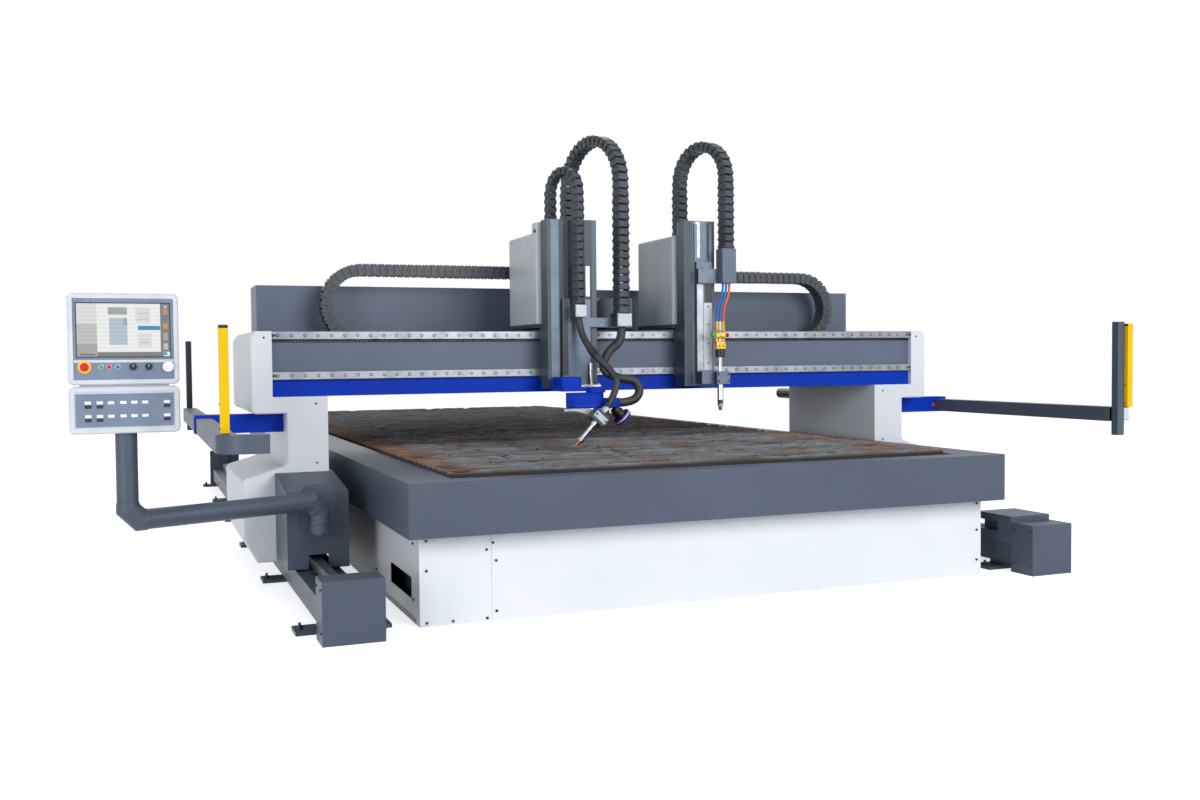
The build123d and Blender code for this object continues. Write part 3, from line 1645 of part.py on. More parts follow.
with BuildPart() as oxy_chain:
    lift_chain(
        (oxy_chain_fixed, station_back + oxy_chain_setback),
        oxy_end,
        oxy_chain_centre,
        oxy_chain_end,
        oxy_cover_top,
        oxy_chain_thickness,
        oxy_chain_width,
    )
save(oxy_chain, "oxy_chain")

with BuildPart() as gas_hoses:
    for i in range(hose_count):
        shift = (i - (hose_count - 1) / 2) * gas_hose_spacing
        gas_top = Vector(oxy_end[0] + shift, oxy_end[1], chain_cover_bottom)
        gas_foot = Vector(oxy_torch_x + shift, oxy_torch_y, valve_top)
        hose(
            "gas hose",
            [gas_top, gas_top + Vector(0, 0, -70), gas_foot + Vector(0, 0, 80), gas_foot],
            gas_hose_radius,
        )
save(gas_hoses, "gas_hoses")

# Cross chains: they lie in the trough, turn up at the ends of the beam and come back to the stations
for chain_name, side, bend_x, end_x in (
    ("left_cross_chain", -1, left_bend, left_chain_end),
    ("right_cross_chain", 1, right_bend, right_chain_end),
):
    with BuildPart() as cross_chain:
        bend_centre = (bend_x, cross_chain_y, cross_centre)
        cross_plane = Plane(origin=bend_centre, x_dir=(0, 0, 1), z_dir=(0, side, 0))
        chain_links(
            cross_plane,
            cross_chain_radius,
            abs(bend_x - end_x),
            abs(bend_x) - chain_anchor,
            cross_chain_thickness,
            cross_chain_width,
        )
    save(cross_chain, chain_name)
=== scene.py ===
# %% [markdown]
# # Dressing a gantry cutting machine
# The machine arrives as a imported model: solids in metres, each in its place and on the body that it moves
# with. Nothing in it is moved here. This lesson gives every surface its finish, swaps a few plain solids
# for detailed pieces, and adds the screws, trims, hoses and signs of wear that make a machine look used.

# %% Load the model
import math
import random

import bpy
from mathutils import Matrix, Vector


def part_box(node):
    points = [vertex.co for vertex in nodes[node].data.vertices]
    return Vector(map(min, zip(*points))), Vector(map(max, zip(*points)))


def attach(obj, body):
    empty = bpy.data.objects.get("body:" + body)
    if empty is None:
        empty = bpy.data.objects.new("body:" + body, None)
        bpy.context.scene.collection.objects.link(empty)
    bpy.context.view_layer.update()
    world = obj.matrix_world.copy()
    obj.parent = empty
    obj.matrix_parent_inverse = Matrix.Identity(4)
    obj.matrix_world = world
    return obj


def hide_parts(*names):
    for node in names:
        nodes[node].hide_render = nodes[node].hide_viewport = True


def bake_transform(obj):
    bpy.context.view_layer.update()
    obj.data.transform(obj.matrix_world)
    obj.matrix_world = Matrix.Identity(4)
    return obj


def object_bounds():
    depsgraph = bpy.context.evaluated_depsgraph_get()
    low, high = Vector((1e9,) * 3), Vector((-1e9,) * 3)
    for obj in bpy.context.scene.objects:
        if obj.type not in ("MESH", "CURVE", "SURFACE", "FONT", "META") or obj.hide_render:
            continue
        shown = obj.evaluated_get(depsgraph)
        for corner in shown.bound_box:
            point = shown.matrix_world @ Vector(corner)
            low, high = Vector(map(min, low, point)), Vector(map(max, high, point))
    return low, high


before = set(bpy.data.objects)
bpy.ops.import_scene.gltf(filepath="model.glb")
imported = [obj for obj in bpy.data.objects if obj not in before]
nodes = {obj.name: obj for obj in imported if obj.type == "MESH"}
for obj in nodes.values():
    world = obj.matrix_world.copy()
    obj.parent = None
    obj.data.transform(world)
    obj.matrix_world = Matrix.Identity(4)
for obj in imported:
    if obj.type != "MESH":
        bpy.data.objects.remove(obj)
cad_box = [list(corner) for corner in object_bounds()]

# %% [markdown]
# ## Camera
# The photograph was taken from about chest height, to the left of the machine's nose. A camera is a place, a
# turn and a lens. The turn is built from three rotations: the pan to the right, the slight tilt down, and a
# very small roll that a hand-held shot has.

# %% Camera at the photograph's viewpoint
camera_data = bpy.data.cameras.new("photo_camera")
camera_data.sensor_width = 36
camera_data.lens = 34.99
camera_data.clip_end = 200
camera = bpy.data.objects.new("photo_camera", camera_data)
bpy.context.scene.collection.objects.link(camera)
viewpoint = (-3.121, -9.665, 1.365)
pan_degrees, tilt_degrees, roll_radians = -22.06, -2.1, -0.009
pan = Matrix.Rotation(math.radians(pan_degrees), 4, "Z")
tilt = Matrix.Rotation(math.radians(90 + tilt_degrees), 4, "X")
roll = Matrix.Rotation(roll_radians, 4, "Z")
camera.matrix_world = Matrix.Translation(viewpoint) @ pan @ tilt @ roll
bpy.context.scene.camera = camera
print("camera at", [round(v, 3) for v in camera.location])

# %% [markdown]
# ## Colours and nodes
# Paint charts give colours as sRGB hex values, while a shader wants linear light, so one function converts
# them. A second one adds a shader node: its settings by name, and its inputs as plain values or as links
# from the outputs of other nodes. A third starts a material, and a fourth links what was made to its shader.
# Every finish below is written with these four.

# %% Helpers for materials
def linear(colour):
    """An sRGB hex value as linear red, green, blue and alpha."""
    parts = [int(colour[i : i + 2], 16) / 255 for i in (1, 3, 5)]
    return [c / 12.92 if c <= 0.04045 else ((c + 0.055) / 1.055) ** 2.4 for c in parts] + [1.0]


def put(tree, kind, inputs=None, **settings):
    """Add a node with its settings, and give its inputs values or links."""
    made = tree.nodes.new(kind)
    for name, value in settings.items():
        setattr(made, name, value)
    for key, value in (inputs or {}).items():
        if isinstance(value, bpy.types.NodeSocket):
            tree.links.new(value, made.inputs[key])
        else:
            made.inputs[key].default_value = value
    return made


def blank(name, **sockets):
    """A new material with plain values on its shader: (material, node tree, shader, object coordinates)."""
    material = bpy.data.materials.new(name)
    material.use_nodes = True
    tree = material.node_tree
    shader = tree.nodes["Principled BSDF"]
    for key, value in sockets.items():
        shader.inputs[key.replace("_", " ")].default_value = value
    place = put(tree, "ShaderNodeTexCoord").outputs["Object"]
    return material, tree, shader, place


def wire(tree, shader, skin, gloss, bump):
    """Link a mixed colour, a roughness and a bump to the shader."""
    tree.links.new(skin.outputs[2], shader.inputs["Base Color"])
    tree.links.new(gloss.outputs[0], shader.inputs["Roughness"])
    tree.links.new(bump.outputs[0], shader.inputs["Normal"])


# %% [markdown]
# ## Painted sheet metal
# Most of the machine is folded steel with a baked powder coat. Close up, that paint has a fine orange peel,
# and its edges are drawn paler: partly wear, where hands and plates touch them, and partly a painted
# highlight on the rounded edges. The peel of 1 mm is too fine for this picture, so it is drawn at 5 mm. A
# Bevel node rounds every sharp edge by 3 mm in the shading only, and the difference between that normal and
# the true one marks the edges.

# %% Powder coat
def powder_coat(name, colour, shade, edge, roughness=0.42, shine=0.35, peel_mm=5.0, edge_mm=3.0):
    """Paint with a soft drift of shade over 0.6 m, orange peel, and edges paler by wear and a painted
    highlight.
    """
    material, tree, shader, place = blank(name, IOR=1.5, Specular_IOR_Level=shine)
    drift = put(tree, "ShaderNodeTexNoise", {"Vector": place, "Scale": 1 / 0.6, "Detail": 5.0})
    level = put(tree, "ShaderNodeMapRange", {0: drift.outputs[0], 1: 0.3, 2: 0.7})
    paint = put(
        tree, "ShaderNodeMix", {0: level.outputs[0], 6: linear(shade), 7: linear(colour)}, data_type="RGBA"
    )
    rounded = put(tree, "ShaderNodeBevel", {"Radius": edge_mm / 1000}, samples=4)
    flat = put(tree, "ShaderNodeNewGeometry").outputs["Normal"]
    same = put(tree, "ShaderNodeVectorMath", {0: rounded.outputs[0], 1: flat}, operation="DOT_PRODUCT")
    # Paler edges: wear where the scuff noise lets it through, and a painted highlight along every rounded
    # edge.
    rim = put(tree, "ShaderNodeMapRange", {0: same.outputs["Value"], 1: 0.99, 2: 0.8})
    scuff = put(tree, "ShaderNodeTexNoise", {"Vector": place, "Scale": 1 / 0.03, "Detail": 3.0})
    edge_wear_and_highlight = put(tree, "ShaderNodeMath", {0: rim.outputs[0], 1: scuff.outputs[0]}, operation="MULTIPLY")
    coat = put(
        tree, "ShaderNodeMix", {0: edge_wear_and_highlight.outputs[0], 6: paint.outputs[2], 7: linear(edge)}, data_type="RGBA"
    )
    peel = put(tree, "ShaderNodeTexNoise", {"Vector": place, "Scale": 1000 / peel_mm, "Detail": 1.0})
    bump = put(
        tree,
        "ShaderNodeBump",
        {"Height": peel.outputs[0], "Strength": 0.06, "Distance": 0.001, "Normal": rounded.outputs[0]},
    )
    gloss = put(tree, "ShaderNodeMapRange", {0: scuff.outputs[0], 3: roughness - 0.06, 4: roughness + 0.08})
    wire(tree, shader, coat, gloss, bump)
    return material


# The third colour of each coat is its edge colour, partly wear and partly a painted highlight.
slate_coat = powder_coat("slate_powder_coat", "#475263", "#404b5b", "#788494")
beam_coat = powder_coat("beam_powder_coat", "#5d6a7e", "#546174", "#8994a4")
dark_coat = powder_coat("dark_powder_coat", "#434f5c", "#3a4551", "#76828f")
pale_coat = powder_coat("pale_powder_coat", "#dfe3ea", "#d6dbe3", "#eef1f5", roughness=0.4, edge_mm=1.2)
blue_coat = powder_coat("blue_powder_coat", "#0038bc", "#0030a8", "#2f5cd0", roughness=0.45, shine=0.12)
cover_coat = powder_coat("cover_powder_coat", "#ccd4db", "#c0c9d1", "#e2e8ed")
yellow_coat = powder_coat("yellow_powder_coat", "#e8be00", "#dcae00", "#f6d84c", roughness=0.4, shine=0.15)
print("painted finishes:", [m.name for m in bpy.data.materials if m.name.endswith("powder_coat")])

# %% [markdown]
# ## Bare metal
# Rails, wheels and torches are bare metal. Grinding and turning leave fine scratches in one direction,
# which stretch the highlight across them. Real scratches are 0.05 mm apart. They are drawn at 2 mm, the
# finest that shows here, by squeezing a noise along one axis. A metal has no colour but its reflection.

# %% Ground, turned and cast metals
def bare_metal(name, colour, tarnish, roughness, scratch_mm=(2.0, 200.0, 2.0)):
    """Metal with scratches of the given size on each axis and a blotchy tarnish over 80 mm."""
    material, tree, shader, place = blank(name, Metallic=1.0)
    squeeze = put(tree, "ShaderNodeMapping", {"Vector": place, "Scale": [1000 / s for s in scratch_mm]})
    scratch = put(tree, "ShaderNodeTexNoise", {"Vector": squeeze.outputs[0], "Scale": 1.0, "Detail": 2.0})
    blotch = put(tree, "ShaderNodeTexNoise", {"Vector": place, "Scale": 1 / 0.08, "Detail": 4.0})
    dull = put(tree, "ShaderNodeMapRange", {0: blotch.outputs[0], 1: 0.4, 2: 0.75})
    skin = put(
        tree, "ShaderNodeMix", {0: dull.outputs[0], 6: linear(colour), 7: linear(tarnish)}, data_type="RGBA"
    )
    gloss = put(tree, "ShaderNodeMapRange", {0: scratch.outputs[0], 3: roughness - 0.1, 4: roughness + 0.12})
    rounded = put(tree, "ShaderNodeBevel", {"Radius": 0.0015}, samples=4)
    bump = put(
        tree,
        "ShaderNodeBump",
        {"Height": scratch.outputs[0], "Strength": 0.05, "Distance": 0.001, "Normal": rounded.outputs[0]},
    )
    wire(tree, shader, skin, gloss, bump)
    return material


rail_steel = bare_metal("ground_rail_steel", "#92979d", "#767b82", 0.34, (200.0, 2.0, 2.0))
long_steel = bare_metal("rolled_rail_steel", "#8a9096", "#5f6468", 0.42, (2.0, 300.0, 2.0))
column_alloy = bare_metal("anodised_column_alloy", "#626c7a", "#57616f", 0.5, (2.0, 2.0, 300.0))
torch_steel = bare_metal("turned_torch_steel", "#c9ccd0", "#9a9da2", 0.26, (60.0, 60.0, 2.0))
brass = bare_metal("machined_brass", "#d2a74c", "#a97f33", 0.28, (3.0, 3.0, 60.0))
copper = bare_metal("electrode_copper", "#d98a5c", "#8d4a2e", 0.34, (3.0, 3.0, 20.0))
zinc = bare_metal("zinc_plated_screw", "#c3c8cc", "#9ba0a4", 0.3, (3.0, 3.0, 3.0))
black_oxide = bare_metal("black_oxide_screw", "#44474c", "#2f3135", 0.42, (3.0, 3.0, 3.0))
metals = (rail_steel, long_steel, column_alloy, torch_steel, brass, copper, zinc, black_oxide)
print("metals:", [metal.name for metal in metals])

# %% [markdown]
# ## Moulded plastics and rubber
# Energy chains, knobs and console frames are injection moulded. The mould is spark eroded, which leaves a
# pebbled skin of about half a millimetre, drawn here at 2 mm. Rubber hoses are duller, and grey dust sits
# in their skin.

# %% Plastics
def moulded(name, colour, shade, roughness, pebble_mm=2.0, strength=0.08):
    """Plastic with a pebbled skin and a faint drift of shade."""
    material, tree, shader, place = blank(name, IOR=1.46)
    drift = put(tree, "ShaderNodeTexNoise", {"Vector": place, "Scale": 1 / 0.12, "Detail": 4.0})
    level = put(tree, "ShaderNodeMapRange", {0: drift.outputs[0], 1: 0.35, 2: 0.7})
    skin = put(
        tree, "ShaderNodeMix", {0: level.outputs[0], 6: linear(colour), 7: linear(shade)}, data_type="RGBA"
    )
    pebble = put(tree, "ShaderNodeTexVoronoi", {"Vector": place, "Scale": 1000 / pebble_mm})
    rounded = put(tree, "ShaderNodeBevel", {"Radius": 0.001}, samples=4)
    bump = put(
        tree,
        "ShaderNodeBump",
        {"Height": pebble.outputs[0], "Strength": strength, "Distance": 0.0005, "Normal": rounded.outputs[0]},
    )
    gloss = put(tree, "ShaderNodeMapRange", {0: drift.outputs[0], 3: roughness - 0.06, 4: roughness + 0.08})
    wire(tree, shader, skin, gloss, bump)
    return material


chain_plastic = moulded("chain_polyamide", "#363b43", "#474d57", 0.4)
black_plastic = moulded("black_abs", "#191b1f", "#24272c", 0.38)
frame_plastic = moulded("console_frame_abs", "#cdd1da", "#c2c7d1", 0.4, 1.5)
face_plastic = moulded("console_face_foil", "#72829a", "#687890", 0.46, 1.5)
hose_rubber = moulded("hose_rubber", "#1d1f22", "#2f3236", 0.5, 3.0, 0.2)
blue_hose = moulded("oxygen_hose_rubber", "#1a6fc4", "#155da8", 0.42, 3.0)
orange_hose = moulded("gas_hose_rubber", "#e0632a", "#c95420", 0.42, 3.0)
red_plastic = moulded("red_polycarbonate", "#cf1822", "#b8121b", 0.26)
green_plastic = moulded("green_polycarbonate", "#2fae58", "#25984a", 0.26)
lamp_blue = moulded("blue_polycarbonate", "#2f78d8", "#2467c2", 0.26)
white_plastic = moulded("white_polyamide", "#eceef2", "#dfe2e8", 0.34)
yellow_plastic = moulded("yellow_polyamide", "#f4c30c", "#e6b206", 0.34)
kinds_of_plastic = ("abs", "foil", "polyamide", "polycarbonate", "rubber")
print("plastics:", [m.name for m in bpy.data.materials if m.name.split("_")[-1] in kinds_of_plastic])

# %% [markdown]
# ## Scorched slats and bearers
# The slats under the plate are bare flat bars that every cut burns. They end up blue-grey where the mill
# scale is left, brown where they rust, and black where soot lies. Heat colours run along a bar, and the next
# bar looks different, so the patches are drawn 500 mm long and only 45 mm wide. Flecks of 25 mm break up
# their borders, and a crust of 8 mm makes the surface rough. A bar is drawn near black below its top edge,
# and rust takes hold of its ends, where no cut ever burns it off.

# %% Burnt and rusted steel
def burnt_steel(name, colours, ash, dark_below_level=0.0, rust_from=9.0):
    """Steel in long patches of the given colours, with a pale crust on top faces, near black below a level,
    and rusted where it is further from the middle than rust_from."""
    material, tree, shader, place = blank(name, Metallic=0.1, IOR=1.5)
    stretch = put(tree, "ShaderNodeMapping", {"Vector": place, "Scale": (1 / 0.5, 1 / 0.045, 1 / 0.3)})
    patch = put(tree, "ShaderNodeTexNoise", {"Vector": stretch.outputs[0], "Scale": 1.0, "Detail": 3.0})
    fleck = put(tree, "ShaderNodeTexNoise", {"Vector": place, "Scale": 1 / 0.025, "Detail": 3.0})
    crust = put(tree, "ShaderNodeTexNoise", {"Vector": place, "Scale": 1 / 0.008, "Detail": 3.0})
    both = put(
        tree,
        "ShaderNodeMath",
        {0: fleck.outputs[0], 1: 0.16, 2: patch.outputs[0]},
        operation="MULTIPLY_ADD",
    )
    level = put(tree, "ShaderNodeMapRange", {0: both.outputs[0], 1: 0.38, 2: 0.8})
    ramp = put(tree, "ShaderNodeValToRGB", {0: level.outputs[0]})
    while len(ramp.color_ramp.elements) < len(colours):
        ramp.color_ramp.elements.new(0.5)
    for i, (stop, colour) in enumerate(zip(ramp.color_ramp.elements, colours)):
        stop.position = i / (len(colours) - 1)
        stop.color = linear(colour)
    spot = put(tree, "ShaderNodeSeparateXYZ", {0: place})
    aside = put(tree, "ShaderNodeMath", {0: spot.outputs[0]}, operation="ABSOLUTE")
    end = put(tree, "ShaderNodeMapRange", {0: aside.outputs[0], 1: rust_from, 2: rust_from + 0.2})
    rusty = put(tree, "ShaderNodeMath", {0: end.outputs[0], 1: patch.outputs[0]}, operation="MULTIPLY")
    rust, low_dark_colour = linear("#9a5f33"), linear("#1f1c1b")
    rusted = put(
        tree, "ShaderNodeMix", {0: rusty.outputs[0], 6: ramp.outputs[0], 7: rust}, data_type="RGBA"
    )
    # Near black below this level, fading out over 22 mm above it.
    clear = put(tree, "ShaderNodeMapRange", {0: spot.outputs[2], 1: dark_below_level, 2: dark_below_level + 0.022})
    darker_low = put(
        tree, "ShaderNodeMix", {0: clear.outputs[0], 6: low_dark_colour, 7: rusted.outputs[2]}, data_type="RGBA"
    )
    up = put(tree, "ShaderNodeSeparateXYZ", {0: put(tree, "ShaderNodeNewGeometry").outputs["Normal"]})
    dusty = put(tree, "ShaderNodeMath", {0: up.outputs[2], 1: fleck.outputs[0]}, operation="MULTIPLY")
    lying = put(tree, "ShaderNodeMapRange", {0: dusty.outputs[0], 1: 0.25, 2: 0.8})
    skin = put(
        tree, "ShaderNodeMix", {0: lying.outputs[0], 6: darker_low.outputs[2], 7: linear(ash)}, data_type="RGBA"
    )
    bump = put(tree, "ShaderNodeBump", {"Height": crust.outputs[0], "Strength": 0.4, "Distance": 0.002})
    gloss = put(tree, "ShaderNodeMapRange", {0: fleck.outputs[0], 3: 0.5, 4: 0.85})
    wire(tree, shader, skin, gloss, bump)
    return material


slat_colours = ("#5b524d", "#6b5f57", "#7f746a", "#747a82", "#868e97", "#6c6b6e", "#8d7058", "#5e524a")
# The slats are drawn near black below 0.755 m, just under their top edges.
slat_steel = burnt_steel("burnt_slat_steel", slat_colours, "#9a9690", dark_below_level=0.755, rust_from=1.3)
pit_colours = ("#262424", "#3f3733", "#4c4744", "#5a4638", "#2f2b2a")
pit_steel = burnt_steel("sooty_bearer_steel", pit_colours, "#55504c")
print("burnt finishes:", slat_steel.name, pit_steel.name)

# %% [markdown]
# ## A finish for every solid
# A solid keeps its mesh, and only its material slot changes. Solids that are one colour on the real machine
# are done with this. The others are covered or replaced by pieces further down.

# %% Assign the finishes
finishes = {
    slate_coat: "tray left_carriage right_carriage rail_end_boxes rear_end_stops barrier_arms console_arm",
    beam_coat: "beam back_cabinet oxy_chain_cover",
    dark_coat: "rail_beds bed_beams drive_hood bevel_carriage oxy_carriage bevel_column torch_clamp",
    pale_coat: "front_panel base_panels leg_covers",
    blue_coat: "beam_skirt barrier_brackets bevel_gearbox bevel_rotator",
    cover_coat: "bevel_cover oxy_cover",
    yellow_coat: "front_barriers",
    rail_steel: "guide_rails tilt_quadrant",
    long_steel: "running_rails front_wheels rear_wheels",
    column_alloy: "oxy_column bevel_ram oxy_ram",
    torch_steel: "plasma_torch oxy_torch",
    brass: "valve_block",
    chain_plastic: "left_cross_chain right_cross_chain main_lift_chain small_lift_chain oxy_chain",
    hose_rubber: "torch_hoses gas_hoses",
    black_plastic: "rear_guards left_selector right_selector",
    frame_plastic: "console_lower console_upper",
    face_plastic: "keypad console_screen",
    red_plastic: "estop_button red_button valve_knob",
    green_plastic: "green_button",
    lamp_blue: "blue_button",
    white_plastic: "speed_knob",
    slat_steel: "slats",
    pit_steel: "slat_combs",
}
for finish, names in finishes.items():
    for name in names.split():
        for slot in nodes[name].material_slots:
            slot.material = finish
print(sum(len(names.split()) for names in finishes.values()), "solids have a finish")

# %% [markdown]
# ## Modelling helpers
# New pieces are modelled as by hand: a primitive is added at its place, and edit mode shapes it. An operator
# works on whatever is selected, so each helper starts from an empty selection. In code, a face or an edge is
# chosen by where it lies and which way it points, because there is no mouse to click with.

# %% Start a piece and choose parts of it
def start(kind, name, **settings):
    """Add a primitive, put its place and size into its mesh, and open it in edit mode."""
    bpy.ops.object.select_all(action="DESELECT")
    getattr(bpy.ops.mesh, f"primitive_{kind}_add")(**settings)
    piece = bpy.context.object
    piece.name = name
    bpy.ops.object.transform_apply(location=True, rotation=True, scale=True)
    bpy.ops.object.mode_set(mode="EDIT")
    return piece


def choose(piece, kind, test):
    """Select the faces or edges whose middle and direction pass the test. A face points along its normal."""
    bpy.ops.mesh.select_mode(type=kind)
    bpy.ops.mesh.select_all(action="DESELECT")
    bpy.ops.object.mode_set(mode="OBJECT")
    for part in piece.data.polygons if kind == "FACE" else piece.data.edges:
        corners = [piece.data.vertices[i].co for i in part.vertices]
        middle = sum(corners, Vector()) / len(corners)
        way = part.normal if kind == "FACE" else (corners[1] - corners[0]).normalized()
        part.select = test(middle, way)
    bpy.ops.object.mode_set(mode="EDIT")


aligned = 0.9


def vertical(at, way):
    """Runs up and down: an edge that stands, or a face that lies flat."""
    return abs(way.z) > aligned


def facing_up(at, way):
    """A face on top."""
    return way.z > aligned


def facing_down(at, way):
    """A face underneath."""
    return way.z < -aligned


def facing_front(at, way):
    """A face on the operator's side."""
    return way.y < -aligned


def close(piece, finish):
    """Leave edit mode with the faces pointing outwards, and give the piece its finish."""
    bpy.ops.mesh.select_all(action="SELECT")
    bpy.ops.mesh.normals_make_consistent(inside=False)
    bpy.ops.object.mode_set(mode="OBJECT")
    piece.data.materials.clear()
    piece.data.materials.append(finish)
    return piece


# %% Three common shapes: a block to shape further, a plate with broken edges, and a turned part
to_left, to_right, to_front, to_back = (-1, 0, 0), (1, 0, 0), (0, -1, 0), (0, 1, 0)
upward, downward = (0, 0, 1), (0, 0, -1)


def block(name, at, size, **settings):
    """A box about a point, open in edit mode."""
    return start("cube", name, size=1, location=at, scale=size, **settings)


def slab(name, low, high, edge, finish, steps=1):
    """A box between two corners whose edges are all bevelled."""
    middle = [(a + b) / 2 for a, b in zip(low, high)]
    block_size = [b - a for a, b in zip(low, high)]
    piece = block(name, middle, block_size)
    bpy.ops.mesh.select_all(action="SELECT")
    bpy.ops.mesh.bevel(offset=edge, segments=steps, affect="EDGES")
    return close(piece, finish)


def turned(name, at, axis, profile, finish, sides=16):
    """A part as from a lathe: a disc at a point, extruded along the axis and scaled for each (step, radius).
    The disc has the first radius, and the first step isn't zero."""
    axis = Vector(axis).normalized()
    turn = Vector((0, 0, 1)).rotation_difference(axis).to_euler()
    radius = profile[0][1]
    piece = start("circle", name, vertices=sides, radius=radius, fill_type="NGON", location=at, rotation=turn)
    bpy.ops.mesh.select_all(action="SELECT")
    centre = Vector(at)
    for step, wider in profile:
        centre = centre + axis * step
        bpy.ops.mesh.extrude_region_move(TRANSFORM_OT_translate={"value": axis * step})
        bpy.ops.transform.resize(value=[wider / radius] * 3, center_override=centre)
        radius = wider
    close(piece, finish)
    bpy.ops.object.shade_smooth_by_angle(angle=math.radians(40))
    return piece


# %% Copy and join
def joined(name, pieces):
    """Several pieces made one."""
    bpy.ops.object.select_all(action="DESELECT")
    for piece in pieces:
        piece.select_set(True)
    bpy.context.view_layer.objects.active = pieces[0]
    bpy.ops.object.join()
    pieces[0].name = name
    return pieces[0]


def copied(model, name, places, keep=False):
    """Copies of a model, each with its own mesh at a matrix or a shift, joined into one piece."""
    pieces = []
    for place in places:
        piece = model.copy()
        piece.data = model.data.copy()
        piece.data.transform(place if isinstance(place, Matrix) else Matrix.Translation(place))
        bpy.context.scene.collection.objects.link(piece)
        pieces.append(piece)
    if not keep:
        bpy.data.objects.remove(model)
    return joined(name, pieces)


def on(body, *pieces, slot=None):
    """Let pieces ride on a body. The slot is not used."""
    for piece in pieces:
        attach(piece, body)
    print(body, "carries", [piece.name for piece in pieces])

# %% [markdown]
# ## Energy chains
# Five chains of moulded links carry the cables. A link has two cranked side plates, its front half outside
# and its rear half inside, so that each link's nose covers its neighbour's tail, and two bars across. It
# could be one sculpted mesh. Ten-faced plates are lighter, and a chain across the beam has some seventy
# links. The link is modelled once for each chain, 50 mm long, and copied.

# %% One link
pitch = 0.05
plate = 0.006


def link_model(name, thickness, width):
    """A link along +X with its width along Y."""
    pieces = []
    for side in (-1, 1):
        for low, high, inset in ((-0.56, 0.12, 0.5), (-0.12, 0.56, 1.6)):
            y = side * (width / 2 - inset * plate)
            nose = block(name, ((low + high) / 2 * pitch, y, 0), ((high - low) * pitch, plate, thickness))
            choose(nose, "EDGE", lambda at, way: abs(way.y) > aligned)
            bpy.ops.mesh.bevel(offset=thickness * 0.16, segments=1, affect="EDGES")
            pieces.append(close(nose, chain_plastic))
        pin_at = (-0.5 * pitch, side * (width / 2 - plate), 0)
        pin_profile = ((plate * 1.5, plate), (0, plate * 0.6))
        pieces.append(turned(name, pin_at, (0, side, 0), pin_profile, black_oxide, 6))
    for level in (-1, 1):
        bar_size = (pitch * 0.86, width - 3 * plate, plate)
        bar = block(name, (0, 0, level * (thickness / 2 - plate)), bar_size)
        choose(bar, "EDGE", lambda at, way: abs(way.y) > aligned and at.z * level > thickness / 2 - plate)
        bpy.ops.mesh.bevel(offset=plate * 0.6, segments=1, affect="EDGES")
        pieces.append(close(bar, chain_plastic))
    return joined(name, pieces)


# %% [markdown]
# ## Chains that roll
# When a station moves, its chain's bend rolls along at half the speed. So a chain is three pieces. The
# straight run at each end stays with what holds it. The bend, with some spare links at both ends, is a
# piece of its own that rides on neither body. The spare links are a little smaller and slide inside the
# runs' links, as a telescope does.

# %% Lay links along a U
def chain(name, node, origin, across, ahead, radius, runs, travel, section, bodies):
    """Links along a U in the plane of two directions. The runs are (moving, fixed) lengths beside the bend,
    travel is the least and the most motion towards the bend, and the bodies are (fixed, moving)."""
    origin, across, ahead = Vector(origin), Vector(across).normalized(), Vector(ahead).normalized()
    moving, fixed = runs
    bend = math.pi * radius
    count = round((moving + bend + fixed) / pitch)
    step = (moving + bend + fixed) / count

    def pin(i):
        s = i * step - moving
        turn = min(max(s, 0), bend) / radius
        past = min(s, 0) - max(s - bend, 0)
        return origin + across * (radius * math.cos(turn)) + ahead * (radius * math.sin(turn) + past)

    def place(i, size):
        way = (pin(i + 1) - pin(i)).normalized()
        wide = across.cross(ahead)
        turn = Matrix((way, wide, way.cross(wide))).transposed().to_4x4()
        return Matrix.Translation((pin(i) + pin(i + 1)) / 2) @ turn @ Matrix.Diagonal((1, size, size, 1))

    least, most = travel
    spare = (most - least) / 2
    overlap, telescope = 0.6 * step, 0.96
    parts = {"moving": [], "bend": [], "fixed": []}
    for i in range(count):
        from_s, to_s = i * step - moving, (i + 1) * step - moving
        if to_s <= -most / 2 + overlap:
            parts["moving"].append(place(i, 1.0))
        if to_s > -spare and from_s < bend + spare:
            parts["bend"].append(place(i, telescope))
        if from_s >= bend - least / 2 - overlap:
            parts["fixed"].append(place(i, 1.0))
    model = link_model(name, *section)
    made = {part: copied(model, f"{name}_{part}", places, keep=True) for part, places in parts.items()}
    bpy.data.objects.remove(model)
    for part, piece in made.items():
        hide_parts(node)
    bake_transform(made["bend"])
    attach(made["moving"], bodies[1])
    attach(made["fixed"], bodies[0])
    counts = {part: len(places) for part, places in parts.items()}
    print(name, counts, "links of", round(step * 1000, 1), "mm")


# %% Chains of the two lifts: they stand behind the columns and come down in front
def lift_chain(name, node, fixed, moving, centre, seat, end, travel, section, bodies):
    """A chain whose U stands upright between two places on the floor plan."""
    fixed, moving = Vector(fixed), Vector(moving)
    middle = (fixed + moving) / 2
    span = moving - fixed
    chain(
        name,
        node,
        (middle.x, middle.y, centre),
        (span.x, span.y, 0),
        (0, 0, 1),
        span.length / 2,
        (centre - end, centre - seat),
        travel,
        section,
        bodies,
    )


